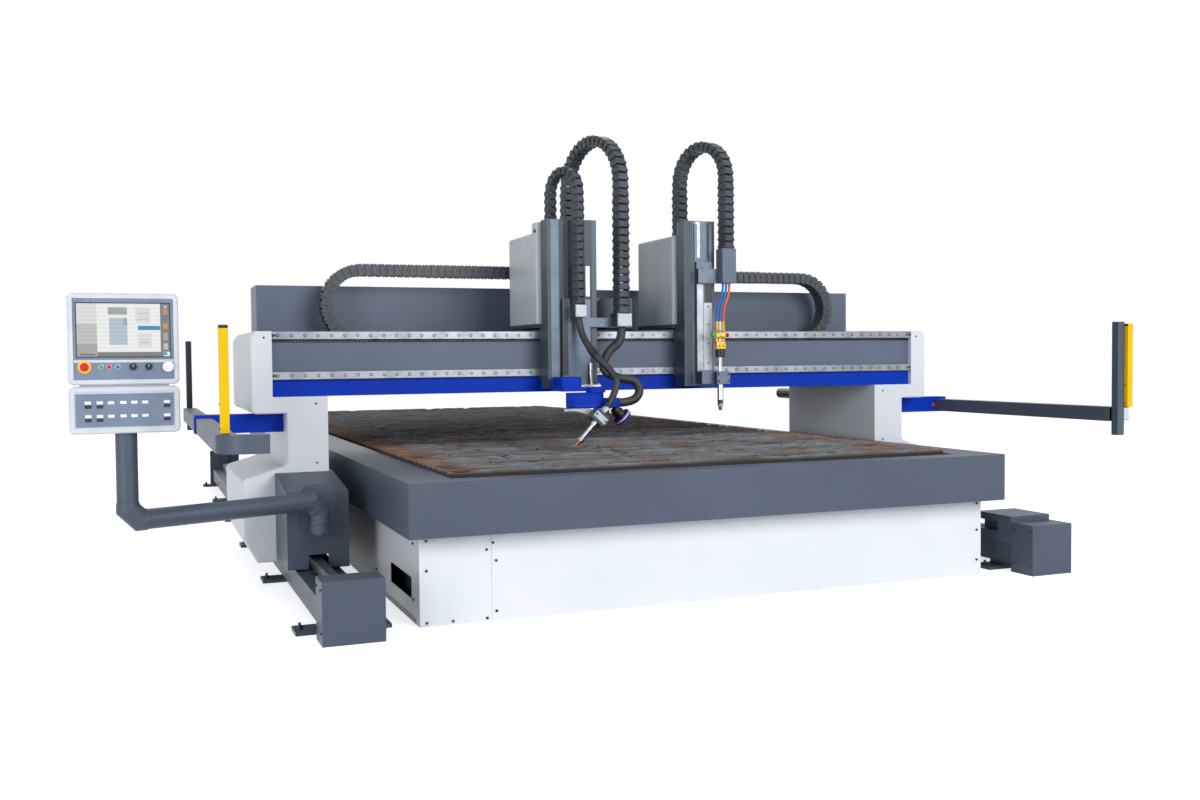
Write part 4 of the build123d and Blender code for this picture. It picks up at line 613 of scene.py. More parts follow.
saddle_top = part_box("drive_hood")[0][2]
small_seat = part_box("bevel_cover")[1][2]
oxy_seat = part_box("oxy_cover")[1][2]
bevel_bodies = ("bevel_station", "bevel_lift")
bevel_travel = (-0.02, 0.2)
main_end = (-0.13, -2.67)
small_end = (-0.429, -2.675)
oxy_end = (0.64, -2.67)
lift_chain(
    "main_chain",
    "main_lift_chain",
    fixed=(-0.276, -2.086),
    moving=main_end,
    centre=2.505,
    seat=saddle_top,
    end=1.649,
    travel=bevel_travel,
    section=(0.07, 0.09),
    bodies=bevel_bodies,
)
lift_chain(
    "small_chain",
    "small_lift_chain",
    fixed=(-0.521, -2.412),
    moving=small_end,
    centre=2.434,
    seat=small_seat,
    end=1.703,
    travel=bevel_travel,
    section=(0.05, 0.066),
    bodies=bevel_bodies,
)
lift_chain(
    "gas_chain",
    "oxy_chain",
    fixed=(0.51, -2.232),
    moving=oxy_end,
    centre=2.572,
    seat=oxy_seat,
    end=2.086,
    travel=(-0.2, 0.1),
    section=(0.07, 0.09),
    bodies=("oxy_station", "oxy_lift"),
)

# %% Chains across the beam: they lie in the trough and turn up towards the ends
cross_y = -1.765
cross_radius = 0.235
cross_section = (0.085, 0.13)
anchor_x = 0.097
for name, side, bend_x, end_x, travel, station in (
    ("left_cross", -1, -1.652, -0.397, (-0.1, 0.9), "bevel_station"),
    ("right_cross", 1, 1.76, 0.495, (-0.1, 0.7), "oxy_station"),
):
    low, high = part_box(f"{name}_chain")
    chain(
        name,
        f"{name}_chain",
        (bend_x, cross_y, (low[2] + high[2]) / 2),
        (0, 0, 1),
        (side, 0, 0),
        cross_radius,
        (abs(bend_x - end_x), abs(bend_x) - anchor_x),
        travel,
        cross_section,
        ("gantry", station),
    )

# %% [markdown]
# ## Hoses
# Thick rubber hoses hang from the chain ends to the torches. A hose has one smooth line, so its route is a
# NURBS curve whose control points are the corners of the route. The curve alone gives the centreline, and
# the same curve with a round bevel gives the tube. It becomes a mesh.

# %% A hose from its route
def hose(name, route, radius, finish):
    """A tube along a smooth curve through the route's corners, with the points of its centreline."""
    line = bpy.data.curves.new(name, "CURVE")
    line.dimensions = "3D"
    line.resolution_u = 12
    spline = line.splines.new("NURBS")
    spline.points.add(len(route) - 1)
    for point, place in zip(spline.points, route):
        point.co = (*place, 1.0)
    spline.order_u = 3
    spline.use_endpoint_u = True
    guide = bpy.data.objects.new(name, line)
    bpy.context.scene.collection.objects.link(guide)
    path = [vertex.co.copy() for vertex in bpy.data.meshes.new_from_object(guide).vertices]
    line.bevel_depth = radius
    line.bevel_resolution = 6
    line.use_fill_caps = True
    tube = bpy.data.objects.new(name, bpy.data.meshes.new_from_object(guide))
    bpy.data.objects.remove(guide)
    bpy.context.scene.collection.objects.link(tube)
    tube.data.materials.clear()
    tube.data.materials.append(finish)
    length = sum((b - a).length for a, b in zip(path, path[1:]))
    print(name, round(length, 3), "m")
    return tube, path, length


def declare(tube, path, length, radius, node, far_end, with_pieces=()):
    """Hide the plain solid that a tube replaces."""
    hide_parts(node)


# %% [markdown]
# ## The torch lead and the thick hose
# The torch's lead drops from the small chain to the back of the torch and crosses two joints, the turn of
# the head and the tilt of the torch. A screwed coupling divides the lead close to the axis of the turn,
# where it moves least. Neither length rides on a body. The long length below it has level rings, because
# rings square to the tube would be squeezed flat by a sideways push, and level rings keep their width. The
# thick hose makes a loose loop to the gland on the head.

# %% Level rings for a length that is pushed sideways
def level_rings(tube, path, end_run=0.05):
    """Slide each ring's points along the tube until the ring lies level, but leave both ends square."""
    ring_size = len(tube.data.vertices) // len(path)
    run = [0.0]
    for here, there in zip(path, path[1:]):
        run.append(run[-1] + (there - here).length)
    for k, middle in enumerate(path):
        way = (path[min(k + 1, len(path) - 1)] - path[max(k - 1, 0)]).normalized()
        share = min(1.0, run[k] / end_run, (run[-1] - run[k]) / end_run)
        for vertex in tube.data.vertices[k * ring_size : (k + 1) * ring_size]:
            vertex.co += way * (share * (middle.z - vertex.co.z) / way.z)
    print(tube.name, len(path), "rings of", ring_size, "points")


# %% Torch lead in two lengths with a coupling
lead_radius = 0.022
coupling_at = Vector((-0.386, -2.8, 1.4))
torch_rear = Vector((-0.3507, -2.955, 1.0535))
chain_foot = Vector((*small_end, 1.511))
lead_way = coupling_at - chain_foot
upper_route = (chain_foot + Vector((0, 0, 0.11)), chain_foot, coupling_at)
lower_route = (
    coupling_at,
    coupling_at + 0.35 * lead_way,
    Vector((-0.285, -2.885, 1.27)),
    Vector((-0.27, -2.955, 1.19)),
    torch_rear,
)
upper = hose("torch_lead_upper", upper_route, lead_radius, hose_rubber)
lower = hose("torch_lead_lower", lower_route, lead_radius, hose_rubber)
level_rings(*lower[:2])
sleeve, waist, nut = 0.024, 0.025, 0.0265
half_coupling = 0.04
coupling_profile = ((0.014, sleeve), (0.0, nut), (0.02, nut), (0.0, waist), (0.012, waist))
coupling_profile += ((0.0, nut), (0.02, nut), (0.0, sleeve), (0.014, sleeve))
coupling_foot = coupling_at - lead_way.normalized() * half_coupling
coupling = turned("torch_lead_coupling", coupling_foot, lead_way, coupling_profile, black_plastic, 20)
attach(coupling, "bevel_turn")
declare(*upper, lead_radius, "torch_hoses", "fitting", [coupling])
declare(*lower, lead_radius, "torch_hoses", "object")
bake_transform(upper[0])
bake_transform(lower[0])

# %% Thick hose in a loop to the gland
loop_radius = 0.028
loop_top = Vector((*main_end, 1.561))
port = Vector((-0.23, -2.845, 1.076))
loop_route = (
    loop_top,
    loop_top + Vector((0, 0, -0.095)),
    loop_top + Vector((-0.105, -0.028, -0.15)),
    loop_top + Vector((-0.18, -0.07, -0.275)),
    loop_top + Vector((-0.07, -0.115, -0.335)),
    port + Vector((0.141, 0.045, 0.143)),
    port + Vector((0.166, 0.025, 0.063)),
    port + Vector((0.096, 0, 0)),
    port,
)
loop = hose("head_hose", loop_route, loop_radius, hose_rubber)
declare(*loop, loop_radius, "torch_hoses", "object")
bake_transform(loop[0])

# %% Three gas hoses on the other station: two blue for oxygen, one orange for fuel gas
gas_radius = 0.008
gas_spacing = 0.024
chain_box_foot = 1.856
torch_x, torch_y = 0.576, -2.7
for place, finish, name in (
    (-1, blue_hose, "oxygen_hose_left"),
    (0, blue_hose, "oxygen_hose_right"),
    (1, orange_hose, "fuel_hose"),
):
    shift = place * gas_spacing
    top = Vector((oxy_end[0] + shift, oxy_end[1], chain_box_foot))
    foot = Vector((torch_x + shift, torch_y, 1.6))
    gas_route = (top, top + Vector((0, 0, -0.07)), foot + Vector((0, 0, 0.08)), foot)
    gas = hose(name, gas_route, gas_radius, finish)
    declare(*gas, gas_radius, "gas_hoses", "object")
    on("oxy_lift", gas[0])

# %% [markdown]
# ## Worn slats
# The plate lies on steel bars stood on edge. Every cut that crosses a bar burns a bite out of its top, so
# used bars have a ragged upper edge with beads of slag on it. A displacement texture could draw that, but a
# real edge is seen against the light here. So a bar is cut into short lengths, and the corners along its top
# are lowered by different depths. Six bars are modelled, worn more and less, and copied along the table.

# %% Six worn bars
slat_low, slat_high = (Vector(corner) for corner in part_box("slats"))
slat_middle = (slat_low + slat_high) / 2
slat_pitch = 0.11
slat_count = 69
slat_sheet = 0.006
slat_cuts = 63
end_slope = 0.006
bite_depths = (0.0, 0.001, 0.002, 0.004, 0.008, 0.014)
bite_weights = (14, 8, 5, 3, 1, 1)
random.seed(11)


def worn_slat(name, wear):
    """A bar along X at y = 0 with sloped ends, whose top is burnt down by the wear and uneven bites."""
    size = slat_high - slat_low
    piece = block(name, (slat_middle.x, 0, slat_middle.z), (size.x, slat_sheet, size.z))
    choose(piece, "EDGE", lambda at, way: abs(way.x) > aligned)
    bpy.ops.mesh.subdivide(number_cuts=slat_cuts)
    burnt = [wear + bite for bite in random.choices(bite_depths, bite_weights, k=slat_cuts + 2)]
    burnt[0] = burnt[-1] = end_slope
    for depth in sorted(set(burnt)):
        choose(
            piece,
            "EDGE",
            lambda at, way: abs(way.y) > aligned
            and at.z > slat_middle.z
            and burnt[round((at.x - slat_low.x) / size.x * (slat_cuts + 1))] == depth,
        )
        bpy.ops.transform.translate(value=(0, 0, -depth))
    return close(piece, slat_steel)


slat_places = [(i - (slat_count - 1) / 2) * slat_pitch for i in range(slat_count)]
slat_wear = (0.0, 0.001, 0.002, 0.004, 0.006, 0.009)
kinds = [random.randrange(len(slat_wear)) for _ in slat_places]
rows = []
for kind, wear in enumerate(slat_wear):
    turn = Matrix.Rotation(math.pi * (kind % 2), 4, "Z")
    places = [Matrix.Translation((0, y, 0)) @ turn for y, k in zip(slat_places, kinds) if k == kind]
    rows.append(copied(worn_slat("worn_slats", wear), "worn_slats", places))
worn_slats = joined("worn_slats", rows)
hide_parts("slats")
on("bed", worn_slats, slot="slat_steel")
print(len(worn_slats.data.polygons), "faces in", slat_count, "slats")

# %% Beads of slag on the tops: a low ball, squashed and pulled to one side
bead = start("ico_sphere", "slag_beads", subdivisions=1, radius=0.007)
bpy.ops.transform.resize(value=(1.5, 0.75, 0.7))
choose(bead, "FACE", lambda at, way: way.z > 0.3)
bpy.ops.transform.translate(value=(0.003, 0, 0.0015))
close(bead, pit_steel)
bead_count = 260
bare_end = 0.06
places = []
for _ in range(bead_count):
    x = random.uniform(slat_low.x + bare_end, slat_high.x - bare_end)
    y = random.choice(slat_places)
    lump = Matrix.Diagonal([random.uniform(0.6, 1.3)] * 3 + [1.0])
    spun = Matrix.Rotation(random.uniform(-0.5, 0.5), 4, "Z")
    places.append(Matrix.Translation((x, y, slat_high.z - random.uniform(0.006, 0.02))) @ spun @ lump)
on("bed", copied(bead, "slag_beads", places), slot="bearer_steel")

# %% [markdown]
# ## Console face
# The operator's console is a moulded frame round sheets of slate-blue foil, with a picture on its screen.
# The foil sheets are thin plates with broken edges, laid in the frame's recess. The picture on a screen
# could be an image, but plain lit tiles are enough for a generic one, and they stay sharp.

# %% Foil sheets and the ledge under the screen
head_low, head_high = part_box("console_upper")
head_x = (head_low[0] + head_high[0]) / 2
face_y = -3.5586
sheet_y = face_y - 0.002
frame_width = 0.025
face_left, face_right = head_low[0] + frame_width, head_high[0] - frame_width
for name, low, high in (("screen_surround", 1.374, 1.6685), ("control_sheet", 1.2785, 1.3595)):
    sheet = slab(name, (face_left, sheet_y, low), (face_right, face_y + 0.001, high), 0.0006, face_plastic)
    on("console_head", sheet, slot="keypad_blue")
ledge = block("screen_ledge", (head_x, face_y - 0.001, 1.3667), (face_right - face_left, 0.005, 0.0135))
choose(ledge, "EDGE", lambda at, way: abs(way.x) > aligned and at.y < sheet_y)
bpy.ops.mesh.bevel(offset=0.0018, segments=3, affect="EDGES")
close(ledge, frame_plastic)
on("console_head", ledge, slot="console_grey")

# %% [markdown]
# ## Screen
# A lit liquid-crystal panel glows by itself a little. Each tile mixes a plain glow with a dark grid of
# picture rows. The real rows are 0.25 mm apart. They are drawn at 3 mm, the finest that this picture shows.

# %% Backlit tiles
def backlit(name, colour):
    """A dark panel that glows in one colour, with faint rows."""
    material, tree, shader, place = blank(name, Roughness=0.25, IOR=1.5, Emission_Strength=0.86)
    shader.inputs["Base Color"].default_value = linear("#24282c")
    rows = put(tree, "ShaderNodeTexWave", {"Vector": place, "Scale": 1 / 0.003 / 20}, bands_direction="Z")
    level = put(tree, "ShaderNodeMapRange", {0: rows.outputs["Fac"], 3: 0.9, 4: 1.0})
    gap_colour = linear("#3c4248")
    lit = put(
        tree, "ShaderNodeMix", {0: level.outputs[0], 6: gap_colour, 7: linear(colour)}, data_type="RGBA"
    )
    tree.links.new(lit.outputs[2], shader.inputs["Emission Color"])
    return material


tile_colours = {
    "white": "#f7f8f8",
    "pale": "#e6e7e6",
    "grey": "#c6c6c3",
    "shade": "#a9aaa6",
    "dark": "#7b7d77",
    "sky": "#b9c9d2",
    "slate": "#a3adb5",
    "blue": "#2c8cbd",
    "teal": "#3fb2bc",
    "rose": "#d7827c",
    "amber": "#de963f",
}
tile_finishes = {name: backlit(f"backlit_panel_{name}", colour) for name, colour in tile_colours.items()}
print(len(tile_finishes), "screen colours")

# %% The picture: a parts drawing on white, lists beside it, and columns of buttons
screen_low, screen_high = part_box("console_screen")
glass_y = screen_low[1]
tiles = (
    ("white", 0.0, 0.0, 1.0, 1.0),
    ("grey", 0.0, 0.24, 0.215, 1.0),
    ("pale", 0.0, 0.62, 0.215, 1.0),
    ("shade", 0.0, 0.0, 0.215, 0.24),
    ("dark", 0.03, 0.02, 0.19, 0.06),
    ("dark", 0.215, 0.0, 0.93, 0.085),
    ("shade", 0.335, 0.79, 0.54, 0.93),
    ("slate", 0.43, 0.82, 0.51, 0.9),
    ("sky", 0.345, 0.22, 0.54, 0.73),
    ("slate", 0.5, 0.58, 0.54, 0.73),
    ("pale", 0.63, 0.63, 0.79, 0.92),
    ("grey", 0.65, 0.7, 0.77, 0.72),
    ("grey", 0.65, 0.8, 0.77, 0.82),
    ("blue", 0.655, 0.5, 0.895, 0.58),
    ("pale", 0.65, 0.17, 0.8, 0.44),
    ("grey", 0.67, 0.26, 0.78, 0.28),
    ("dark", 0.9, 0.085, 1.0, 1.0),
    ("sky", 0.94, 0.92, 0.975, 0.97),
    ("rose", 0.93, 0.79, 0.98, 0.9),
    ("blue", 0.905, 0.69, 0.94, 0.76),
    ("amber", 0.93, 0.52, 0.98, 0.63),
    ("shade", 0.93, 0.3, 0.98, 0.45),
    ("grey", 0.93, 0.13, 0.98, 0.25),
    ("teal", 0.93, 0.02, 0.97, 0.08),
)
shown = [slab("lit_screen", screen_low, screen_high, 0.001, black_plastic)]
margin = 0.005
corner = Vector((screen_low[0] + margin, glass_y, screen_low[2] + margin))
across, up = (screen_high[i] - screen_low[i] - 2 * margin for i in (0, 2))
first_layer, layer_step = 0.0002, 0.00006
for layer, (colour, left, low, right, high) in enumerate(tiles):
    depth = first_layer + layer_step * layer
    shown.append(
        slab(
            "tile",
            (corner.x + left * across, glass_y - depth, corner.z + low * up),
            (corner.x + right * across, glass_y + 0.0005, corner.z + high * up),
            0.00004,
            tile_finishes[colour],
        )
    )
screen = joined("lit_screen", shown)
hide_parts("console_screen")
on("console_head", screen, slot="screen_glass")

# %% [markdown]
# ## Keys
# The keys under the screen are short white caps with a dished top, and six dark ones. One cap is modelled:
# a box whose front is bevelled, inset and pressed in, as a mould would do it. Then it is copied.

# %% Key caps
key_columns = (-0.166, -0.114, -0.064, -0.009, 0.04, 0.09, 0.189)
key_rows = (0.037, -0.028)
key_level = 1.13
key_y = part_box("keypad")[0][1]
key_size = (0.029, 0.0038, 0.0148)
dark_columns = (0, 1, 6)
dark_drop = 0.019


def key_cap(name, finish):
    """A cap round the keypad's raised key at the middle of the row."""
    cap = block(name, (head_x, key_y + 0.0008, key_level), key_size)
    choose(cap, "FACE", facing_front)
    bpy.ops.mesh.bevel(offset=0.0012, segments=2, affect="EDGES")
    choose(cap, "FACE", lambda at, way: way.y < -0.99)
    bpy.ops.mesh.inset(thickness=0.0014)
    bpy.ops.transform.translate(value=(0, 0.0005, 0))
    return close(cap, finish)


white_places = [(x, 0, row) for x in key_columns for row in key_rows]
white_keys = copied(key_cap("white_keys", white_plastic), "white_keys", white_places)
on("console_head", white_keys, slot="knob_white")
dark_places = [(key_columns[i], 0, row - dark_drop) for i in dark_columns for row in key_rows]
dark_keys = copied(key_cap("dark_keys", black_plastic), "dark_keys", dark_places)
on("console_head", dark_keys, slot="knob_black")

# %% [markdown]
# ## Switch trims
# A yellow plate marks the emergency stop, the lamp buttons sit in bright rings, and a black disc behind
# the speed knob is painted shadow. They are turned parts, so each is a disc that is extruded and widened step
# by step.

# %% Rings, and a black disc of painted shadow
control_level = 1.339
stop_at, lamps_at, selectors_at, speed_at = -0.178, (-0.105, -0.068, -0.03), (0.039, 0.11), 0.199


def trims(name, offsets, profile, finish, slot, sides=32):
    """The same turned trim round each control, by its distance from the middle of the console."""
    places = [(head_x + x, sheet_y, control_level) for x in offsets]
    made = [turned(name, place, to_front, profile, finish, sides) for place in places]
    on("console_head", joined(name, made), slot=slot)


trims("stop_plate", (stop_at,), ((0.002, 0.031), (0.0008, 0.0298)), yellow_plastic, "barrier_yellow", 40)
ring_profile = ((0.0035, 0.0135), (0.0012, 0.0122), (0, 0.0096), (-0.002, 0.0096))
trims("lamp_rings", lamps_at, ring_profile, zinc, "rail_steel")
trims("selector_collars", selectors_at, ((0.003, 0.0175), (0.001, 0.0165)), black_plastic, "knob_black")
# A black disc behind the speed knob: its black is painted shadow round the knob.
trims("speed_knob_shade_disc", (speed_at,), ((0.0016, 0.0258), (0.0006, 0.0252)), black_plastic, "knob_black", 40)

# %% A wide skirt on the speed knob, and a white mark on each selector's grip
skirt = turned(
    "speed_knob_skirt",
    (head_x + speed_at, sheet_y - 0.0035, control_level),
    to_front,
    ((0.009, 0.0275), (0.004, 0.0258), (0.0015, 0.0225), (0.0005, 0.0192)),
    white_plastic,
    36,
)
on("override", skirt, slot="knob_white")
grip_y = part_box("left_selector")[0][1]
for body, x in zip(("selector_a", "selector_b"), selectors_at):
    mark = slab(
        f"{body}_mark",
        (head_x + x - 0.0014, grip_y - 0.0004, control_level + 0.001),
        (head_x + x + 0.0014, grip_y + 0.001, control_level + 0.0105),
        0.0003,
        white_plastic,
    )
    on(body, mark, slot="knob_white")

# %% [markdown]
# ## Back of the console
# Behind, sheet covers close the two housings. The upper one has louvres for the warm air of the screen. A
# louvre is a box whose upper long edge is pushed in towards the cover, copied down the cover.

# %% Back covers and louvres
upper_back, lower_back = head_high[1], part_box("console_lower")[1][1]
for name, low, high, back in (
    ("console_back_upper", 1.279, 1.668, upper_back),
    ("console_back_lower", 1.043, 1.217, lower_back),
):
    corners = (face_left, back - 0.006, low), (face_right, back - 0.002, high)
    on("console_head", slab(name, *corners, 0.001, frame_plastic, 2), slot="console_grey")
louvre_level, louvre_pitch, louvre_count = 1.6, 0.03, 8
cover_face = upper_back - 0.002
louvre = block("console_louvres", (head_x, upper_back - 0.0015, louvre_level), (0.24, 0.006, 0.014))
choose(
    louvre,
    "EDGE",
    lambda at, way: abs(way.x) > aligned and at.y > cover_face and at.z > louvre_level,
)
bpy.ops.transform.translate(value=(0, -0.0045, 0))
choose(louvre, "EDGE", lambda at, way: abs(way.x) > aligned and at.y > cover_face)
bpy.ops.mesh.bevel(offset=0.001, segments=2, affect="EDGES")
close(louvre, frame_plastic)
louvre_places = [(0, 0, -louvre_pitch * i) for i in range(louvre_count)]
on("console_head", copied(louvre, "console_louvres", louvre_places), slot="console_grey")

# %% [markdown]
# ## Bevel station
# The column of the plasma station is an extruded profile with anodised strips and a dark guide slot. Its
# ram slides behind the chains. The strips stand only a millimetre proud, because the ram passes 2 mm in
# front of the column. Strips could be painted on with a mask, but as plates they also catch the light.

# %% Strips on the column and plates on the ram
column_y = -2.595
column_foot, column_joint, column_top = 1.168, 1.957, 2.252
column_span, panel_span = (column_foot, column_top), (column_joint, column_top)
ram_y = -2.625


def strip(name, x, z, y, finish, proud=0.001):
    """A thin upright plate on a front face at depth y, from (left, right) and (bottom, top)."""
    piece = slab(name, (x[0], y - proud, z[0]), (x[1], y + 0.003, z[1]), 0.0004, finish)
    return piece


on(
    "bevel_station",
    strip("column_left_strip", (-0.589, -0.533), column_span, column_y, column_alloy),
    strip("column_slot", (-0.529, -0.487), column_span, column_y, black_plastic, 0.0004),
    strip("column_panel", (-0.483, -0.395), panel_span, column_y, column_alloy),
    strip("column_bright_bar", (-0.35, -0.32), (1.76, column_joint), column_y, rail_steel),
    strip("column_right_strip", (-0.308, -0.275), column_span, column_y, beam_coat),
)
on(
    "bevel_lift",
    strip("ram_slot", (-0.518, -0.486), (1.25, 1.738), ram_y, black_plastic),
    strip("ram_plate", (-0.482, -0.436), (1.25, 1.6), ram_y, column_alloy, 0.003),
)

# %% Cap on the column, and a latch on the cover
cap = block("column_cap", (-0.443, -2.5365, 2.2515), (0.336, 0.113, 0.005))
choose(cap, "FACE", facing_up)
bpy.ops.mesh.inset(thickness=0.006)
bpy.ops.transform.translate(value=(0, 0, 0.002))
close(cap, black_plastic)
on("bevel_station", cap, slot="black_metal")
latch_profile = ((0.006, 0.012), (0.003, 0.009))
latch = turned("cover_latch", (-0.639, -2.44, 2.19), to_left, latch_profile, black_plastic, 16)
on("bevel_station", latch, slot="knob_black")

# %% [markdown]
# ## Chain clamps
# Each lift chain ends in a block on the ram, clamped by a plate with four screws. A screw head is a short
# turned part with a socket pressed into its face. One function makes it for every place on the machine.

# %% One socket screw, and the clamps' plates
def screws(name, places, axis, radius, finish, body, slot="rail_steel"):
    """Cap screws at the given places, heads along the axis."""
    shares = ((0.9, 1), (0.2, 0.85), (0, 0.5), (-0.5, 0.42))
    profile = [(radius * step, radius * wide) for step, wide in shares]
    model = turned(name, (0, 0, 0), axis, profile, finish, 10)
    on(body, copied(model, name, places), slot=slot)


clamp_plates = []
clamp_corners = []
for x, half, low, high, y, screw_x, screw_levels in (
    (small_end[0], 0.036, 1.625, 1.699, -2.715, 0.027, (1.634, 1.69)),
    (main_end[0], 0.048, 1.566, 1.644, -2.722, 0.038, (1.576, 1.634)),
):
    sides = (x - half, y - 0.004, low), (x + half, y + 0.002, high)
    clamp_plates.append(slab("clamp_plates", *sides, 0.0015, cover_coat, 2))
    clamp_corners += [(x + i, y - 0.004, z) for i in (-screw_x, screw_x) for z in screw_levels]
on("bevel_lift", joined("clamp_plates", clamp_plates), slot="station_grey")
screws("clamp_screws", clamp_corners, to_front, 0.0055, zinc, "bevel_lift")

# %% [markdown]
# ## Bevel head
# Under the ram, a bright flange carries the blue gear housing and the arm that swings the torch round. The
# cutting torch is a stack of turned parts: a copper nozzle, a bright shield ring, a slim steel neck and the
# body with a grooved nut. It replaces the plain stepped solid.

# %% Flange, guide rod and the bolts of the housing
flange = block("ram_flange", (-0.368, -2.659, 1.183), (0.176, 0.064, 0.013))
choose(flange, "EDGE", vertical)
bpy.ops.mesh.bevel(offset=0.012, segments=4, affect="EDGES")
choose(flange, "FACE", facing_up)
bpy.ops.mesh.bevel(offset=0.002, segments=1, affect="EDGES")
close(flange, torch_steel)
rod_profile = ((0.012, 0.017), (0, 0.011), (0.128, 0.011), (0.003, 0.008))
rod = turned("guide_rod", (-0.338, -2.645, 1.188), upward, rod_profile, torch_steel, 20)
on("bevel_lift", flange, rod, slot="torch_steel")
flange_places = [(x, -2.681, 1.1895) for x in (-0.43, -0.385, -0.3)]
screws("flange_screws", flange_places, upward, 0.006, zinc, "bevel_lift")
housing_places = [(x, -2.805, z) for x in (-0.588, -0.474) for z in (1.19, 1.224)]
screws("housing_screws", housing_places, to_front, 0.004, black_oxide, "bevel_lift", "black_metal")

# %% [markdown]
# ## Swing arm
# The arm that swings the torch is a casting with cut corners, a round hub under the flange, and a square
# branch that ends in a gland for the thick hose. Its parts are shaped one by one and joined. The gland leans
# downwards at 45 degrees, and is wrapped with bands of coloured tape.

# %% Cast body, hub and branch
turn_x, turn_y = -0.386, -2.845
arm_body = block("swing_arm", (-0.484, turn_y, 1.095), (0.196, 0.1, 0.098))
choose(arm_body, "EDGE", lambda at, way: abs(way.z) > aligned and at.x < -0.5)
bpy.ops.mesh.bevel(offset=0.036, segments=1, affect="EDGES")
choose(arm_body, "FACE", facing_down)
bpy.ops.mesh.bevel(offset=0.008, segments=1, affect="EDGES")
choose(arm_body, "FACE", facing_front)
bpy.ops.mesh.inset(thickness=0.012)
bpy.ops.transform.translate(value=(0, 0.0015, 0))
close(arm_body, blue_coat)
hub_profile = ((0.001, 0.043), (0.007, 0.05), (0.09, 0.05))
hub = turned("swing_arm", (turn_x, turn_y, 1.046), upward, hub_profile, blue_coat, 40)
branch = slab("swing_arm", (turn_x, -2.877, 1.044), (-0.23, -2.813, 1.108), 0.008, blue_coat, 2)
gland_way = Vector((1, 0, -1)).normalized()
gland_at = Vector((-0.262, turn_y, 1.04))
stub_profile = ((0.03, 0.03), (0, 0.037), (0.008, 0.037), (0, 0.034), (0.004, 0.034))
stub_profile += ((0, 0.037), (0.02, 0.037), (0.004, 0.03))
stub = turned("swing_arm", gland_at, gland_way, stub_profile, black_plastic, 28)
ring_profile = ((0.004, 0.056), (0.002, 0.058), (0.022, 0.058), (0.002, 0.056))
ring = turned("swing_arm", gland_at + gland_way * 0.066, gland_way, ring_profile, blue_coat, 48)
swing_arm = joined("swing_arm", [arm_body, hub, branch, stub, ring])
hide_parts("bevel_rotator")
on("bevel_turn", swing_arm, slot="signal_blue")

# %% Bands of tape on the gland
band_profile = ((0.007, 0.0595), (0.0004, 0.0585))
for name, along, finish, slot in (
    ("red_tape", 0.0665, red_plastic, "stop_red"),
    ("white_tape", 0.0745, white_plastic, "knob_white"),
):
    band = turned(name, gland_at + gland_way * along, gland_way, band_profile, finish, 48)
    on("bevel_turn", band, slot=slot)

# %% Torch
tip = Vector((-0.57, -2.955, 0.815))
lean = math.radians(42.6)
torch_way = Vector((math.sin(lean), 0, math.cos(lean)))
nozzle_profile = ((0.004, 0.006), (0.012, 0.0085), (0.012, 0.0105), (0.016, 0.0125))
nozzle = turned("torch_nozzle", tip, torch_way, nozzle_profile, copper, 24)
shield_profile = ((0.004, 0.0165), (0.002, 0.0195), (0.016, 0.0195), (0.003, 0.0165), (0.01, 0.0165))
shield = turned("torch_shield", tip + torch_way * 0.042, torch_way, shield_profile, torch_steel, 24)
neck_profile = ((0.128, 0.0145), (0.0, 0.0215), (0.112, 0.0215), (0.0, 0.029))
ridge_count = 3
neck_profile += ((0.0035, 0.029), (0.0, 0.0265), (0.0015, 0.0265), (0.0, 0.029)) * ridge_count
neck_profile += ((0.004, 0.029), (0.003, 0.025), (0.01, 0.0225))
torch_body = turned("torch_body", tip + torch_way * 0.046, torch_way, neck_profile, torch_steel, 24)
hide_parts("plasma_torch")
on("torch_tilt", nozzle, slot="valve_brass")
on("torch_tilt", shield, torch_body, slot="torch_steel")

# %% A bright plate on the torch clamp, with its screws
clamp_centre = tip + torch_way * 0.24
plate_shift, bolt_shift = Vector((0, -0.0285, 0)), Vector((0, -0.0315, 0))
clamp_size = (0.096, 0.006, 0.04)
clamp_plate = block("torch_clamp_plate", clamp_centre + plate_shift, clamp_size, rotation=(0, lean, 0))
choose(clamp_plate, "FACE", facing_front)
bpy.ops.mesh.bevel(offset=0.002, segments=1, affect="EDGES")
close(clamp_plate, cover_coat)
on("torch_tilt", clamp_plate, slot="station_grey")
side_way = Vector((math.cos(lean), 0, -math.sin(lean)))
bolt_places = [clamp_centre + side_way * 0.038 * side + bolt_shift for side in (-1, 1)]
screws("clamp_bolts", bolt_places, to_front, 0.006, black_oxide, "torch_tilt", "black_metal")

# %% [markdown]
# ## Oxy-fuel station
# The second station holds a gas torch. Its column is plain anodised profile with bright guide strips. The
# ram in front carries a ground bar, and a grey sheet box hides the end of its chain.

# %% Strips on the column and the ram
on(
    "oxy_station",
    strip("oxy_column_left_strip", (0.366, 0.425), (column_foot, 2.275), column_y, dark_coat),
    strip("oxy_column_bright_strip", (0.43, 0.436), (column_foot, 2.0), column_y, rail_steel),
    strip("oxy_column_white_strip", (0.448, 0.482), (2.03, 2.27), column_y, rail_steel),
    strip("oxy_column_slot", (0.53, 0.566), (2.03, 2.27), column_y, dark_coat),
)
on(
    "oxy_lift",
    strip("oxy_ram_bright_bar", (0.443, 0.488), (1.27, 1.85), ram_y, rail_steel, 0.002),
    strip("oxy_ram_dark_band", (0.5, 0.558), (1.73, 1.85), ram_y, black_plastic, 0.002),
    strip("oxy_ram_grey_strip", (0.493, 0.556), (1.27, 1.725), ram_y, cover_coat),
)
bolt_places = [(0.526, ram_y - 0.001, z) for z in (1.32, 1.45, 1.58, 1.7)]
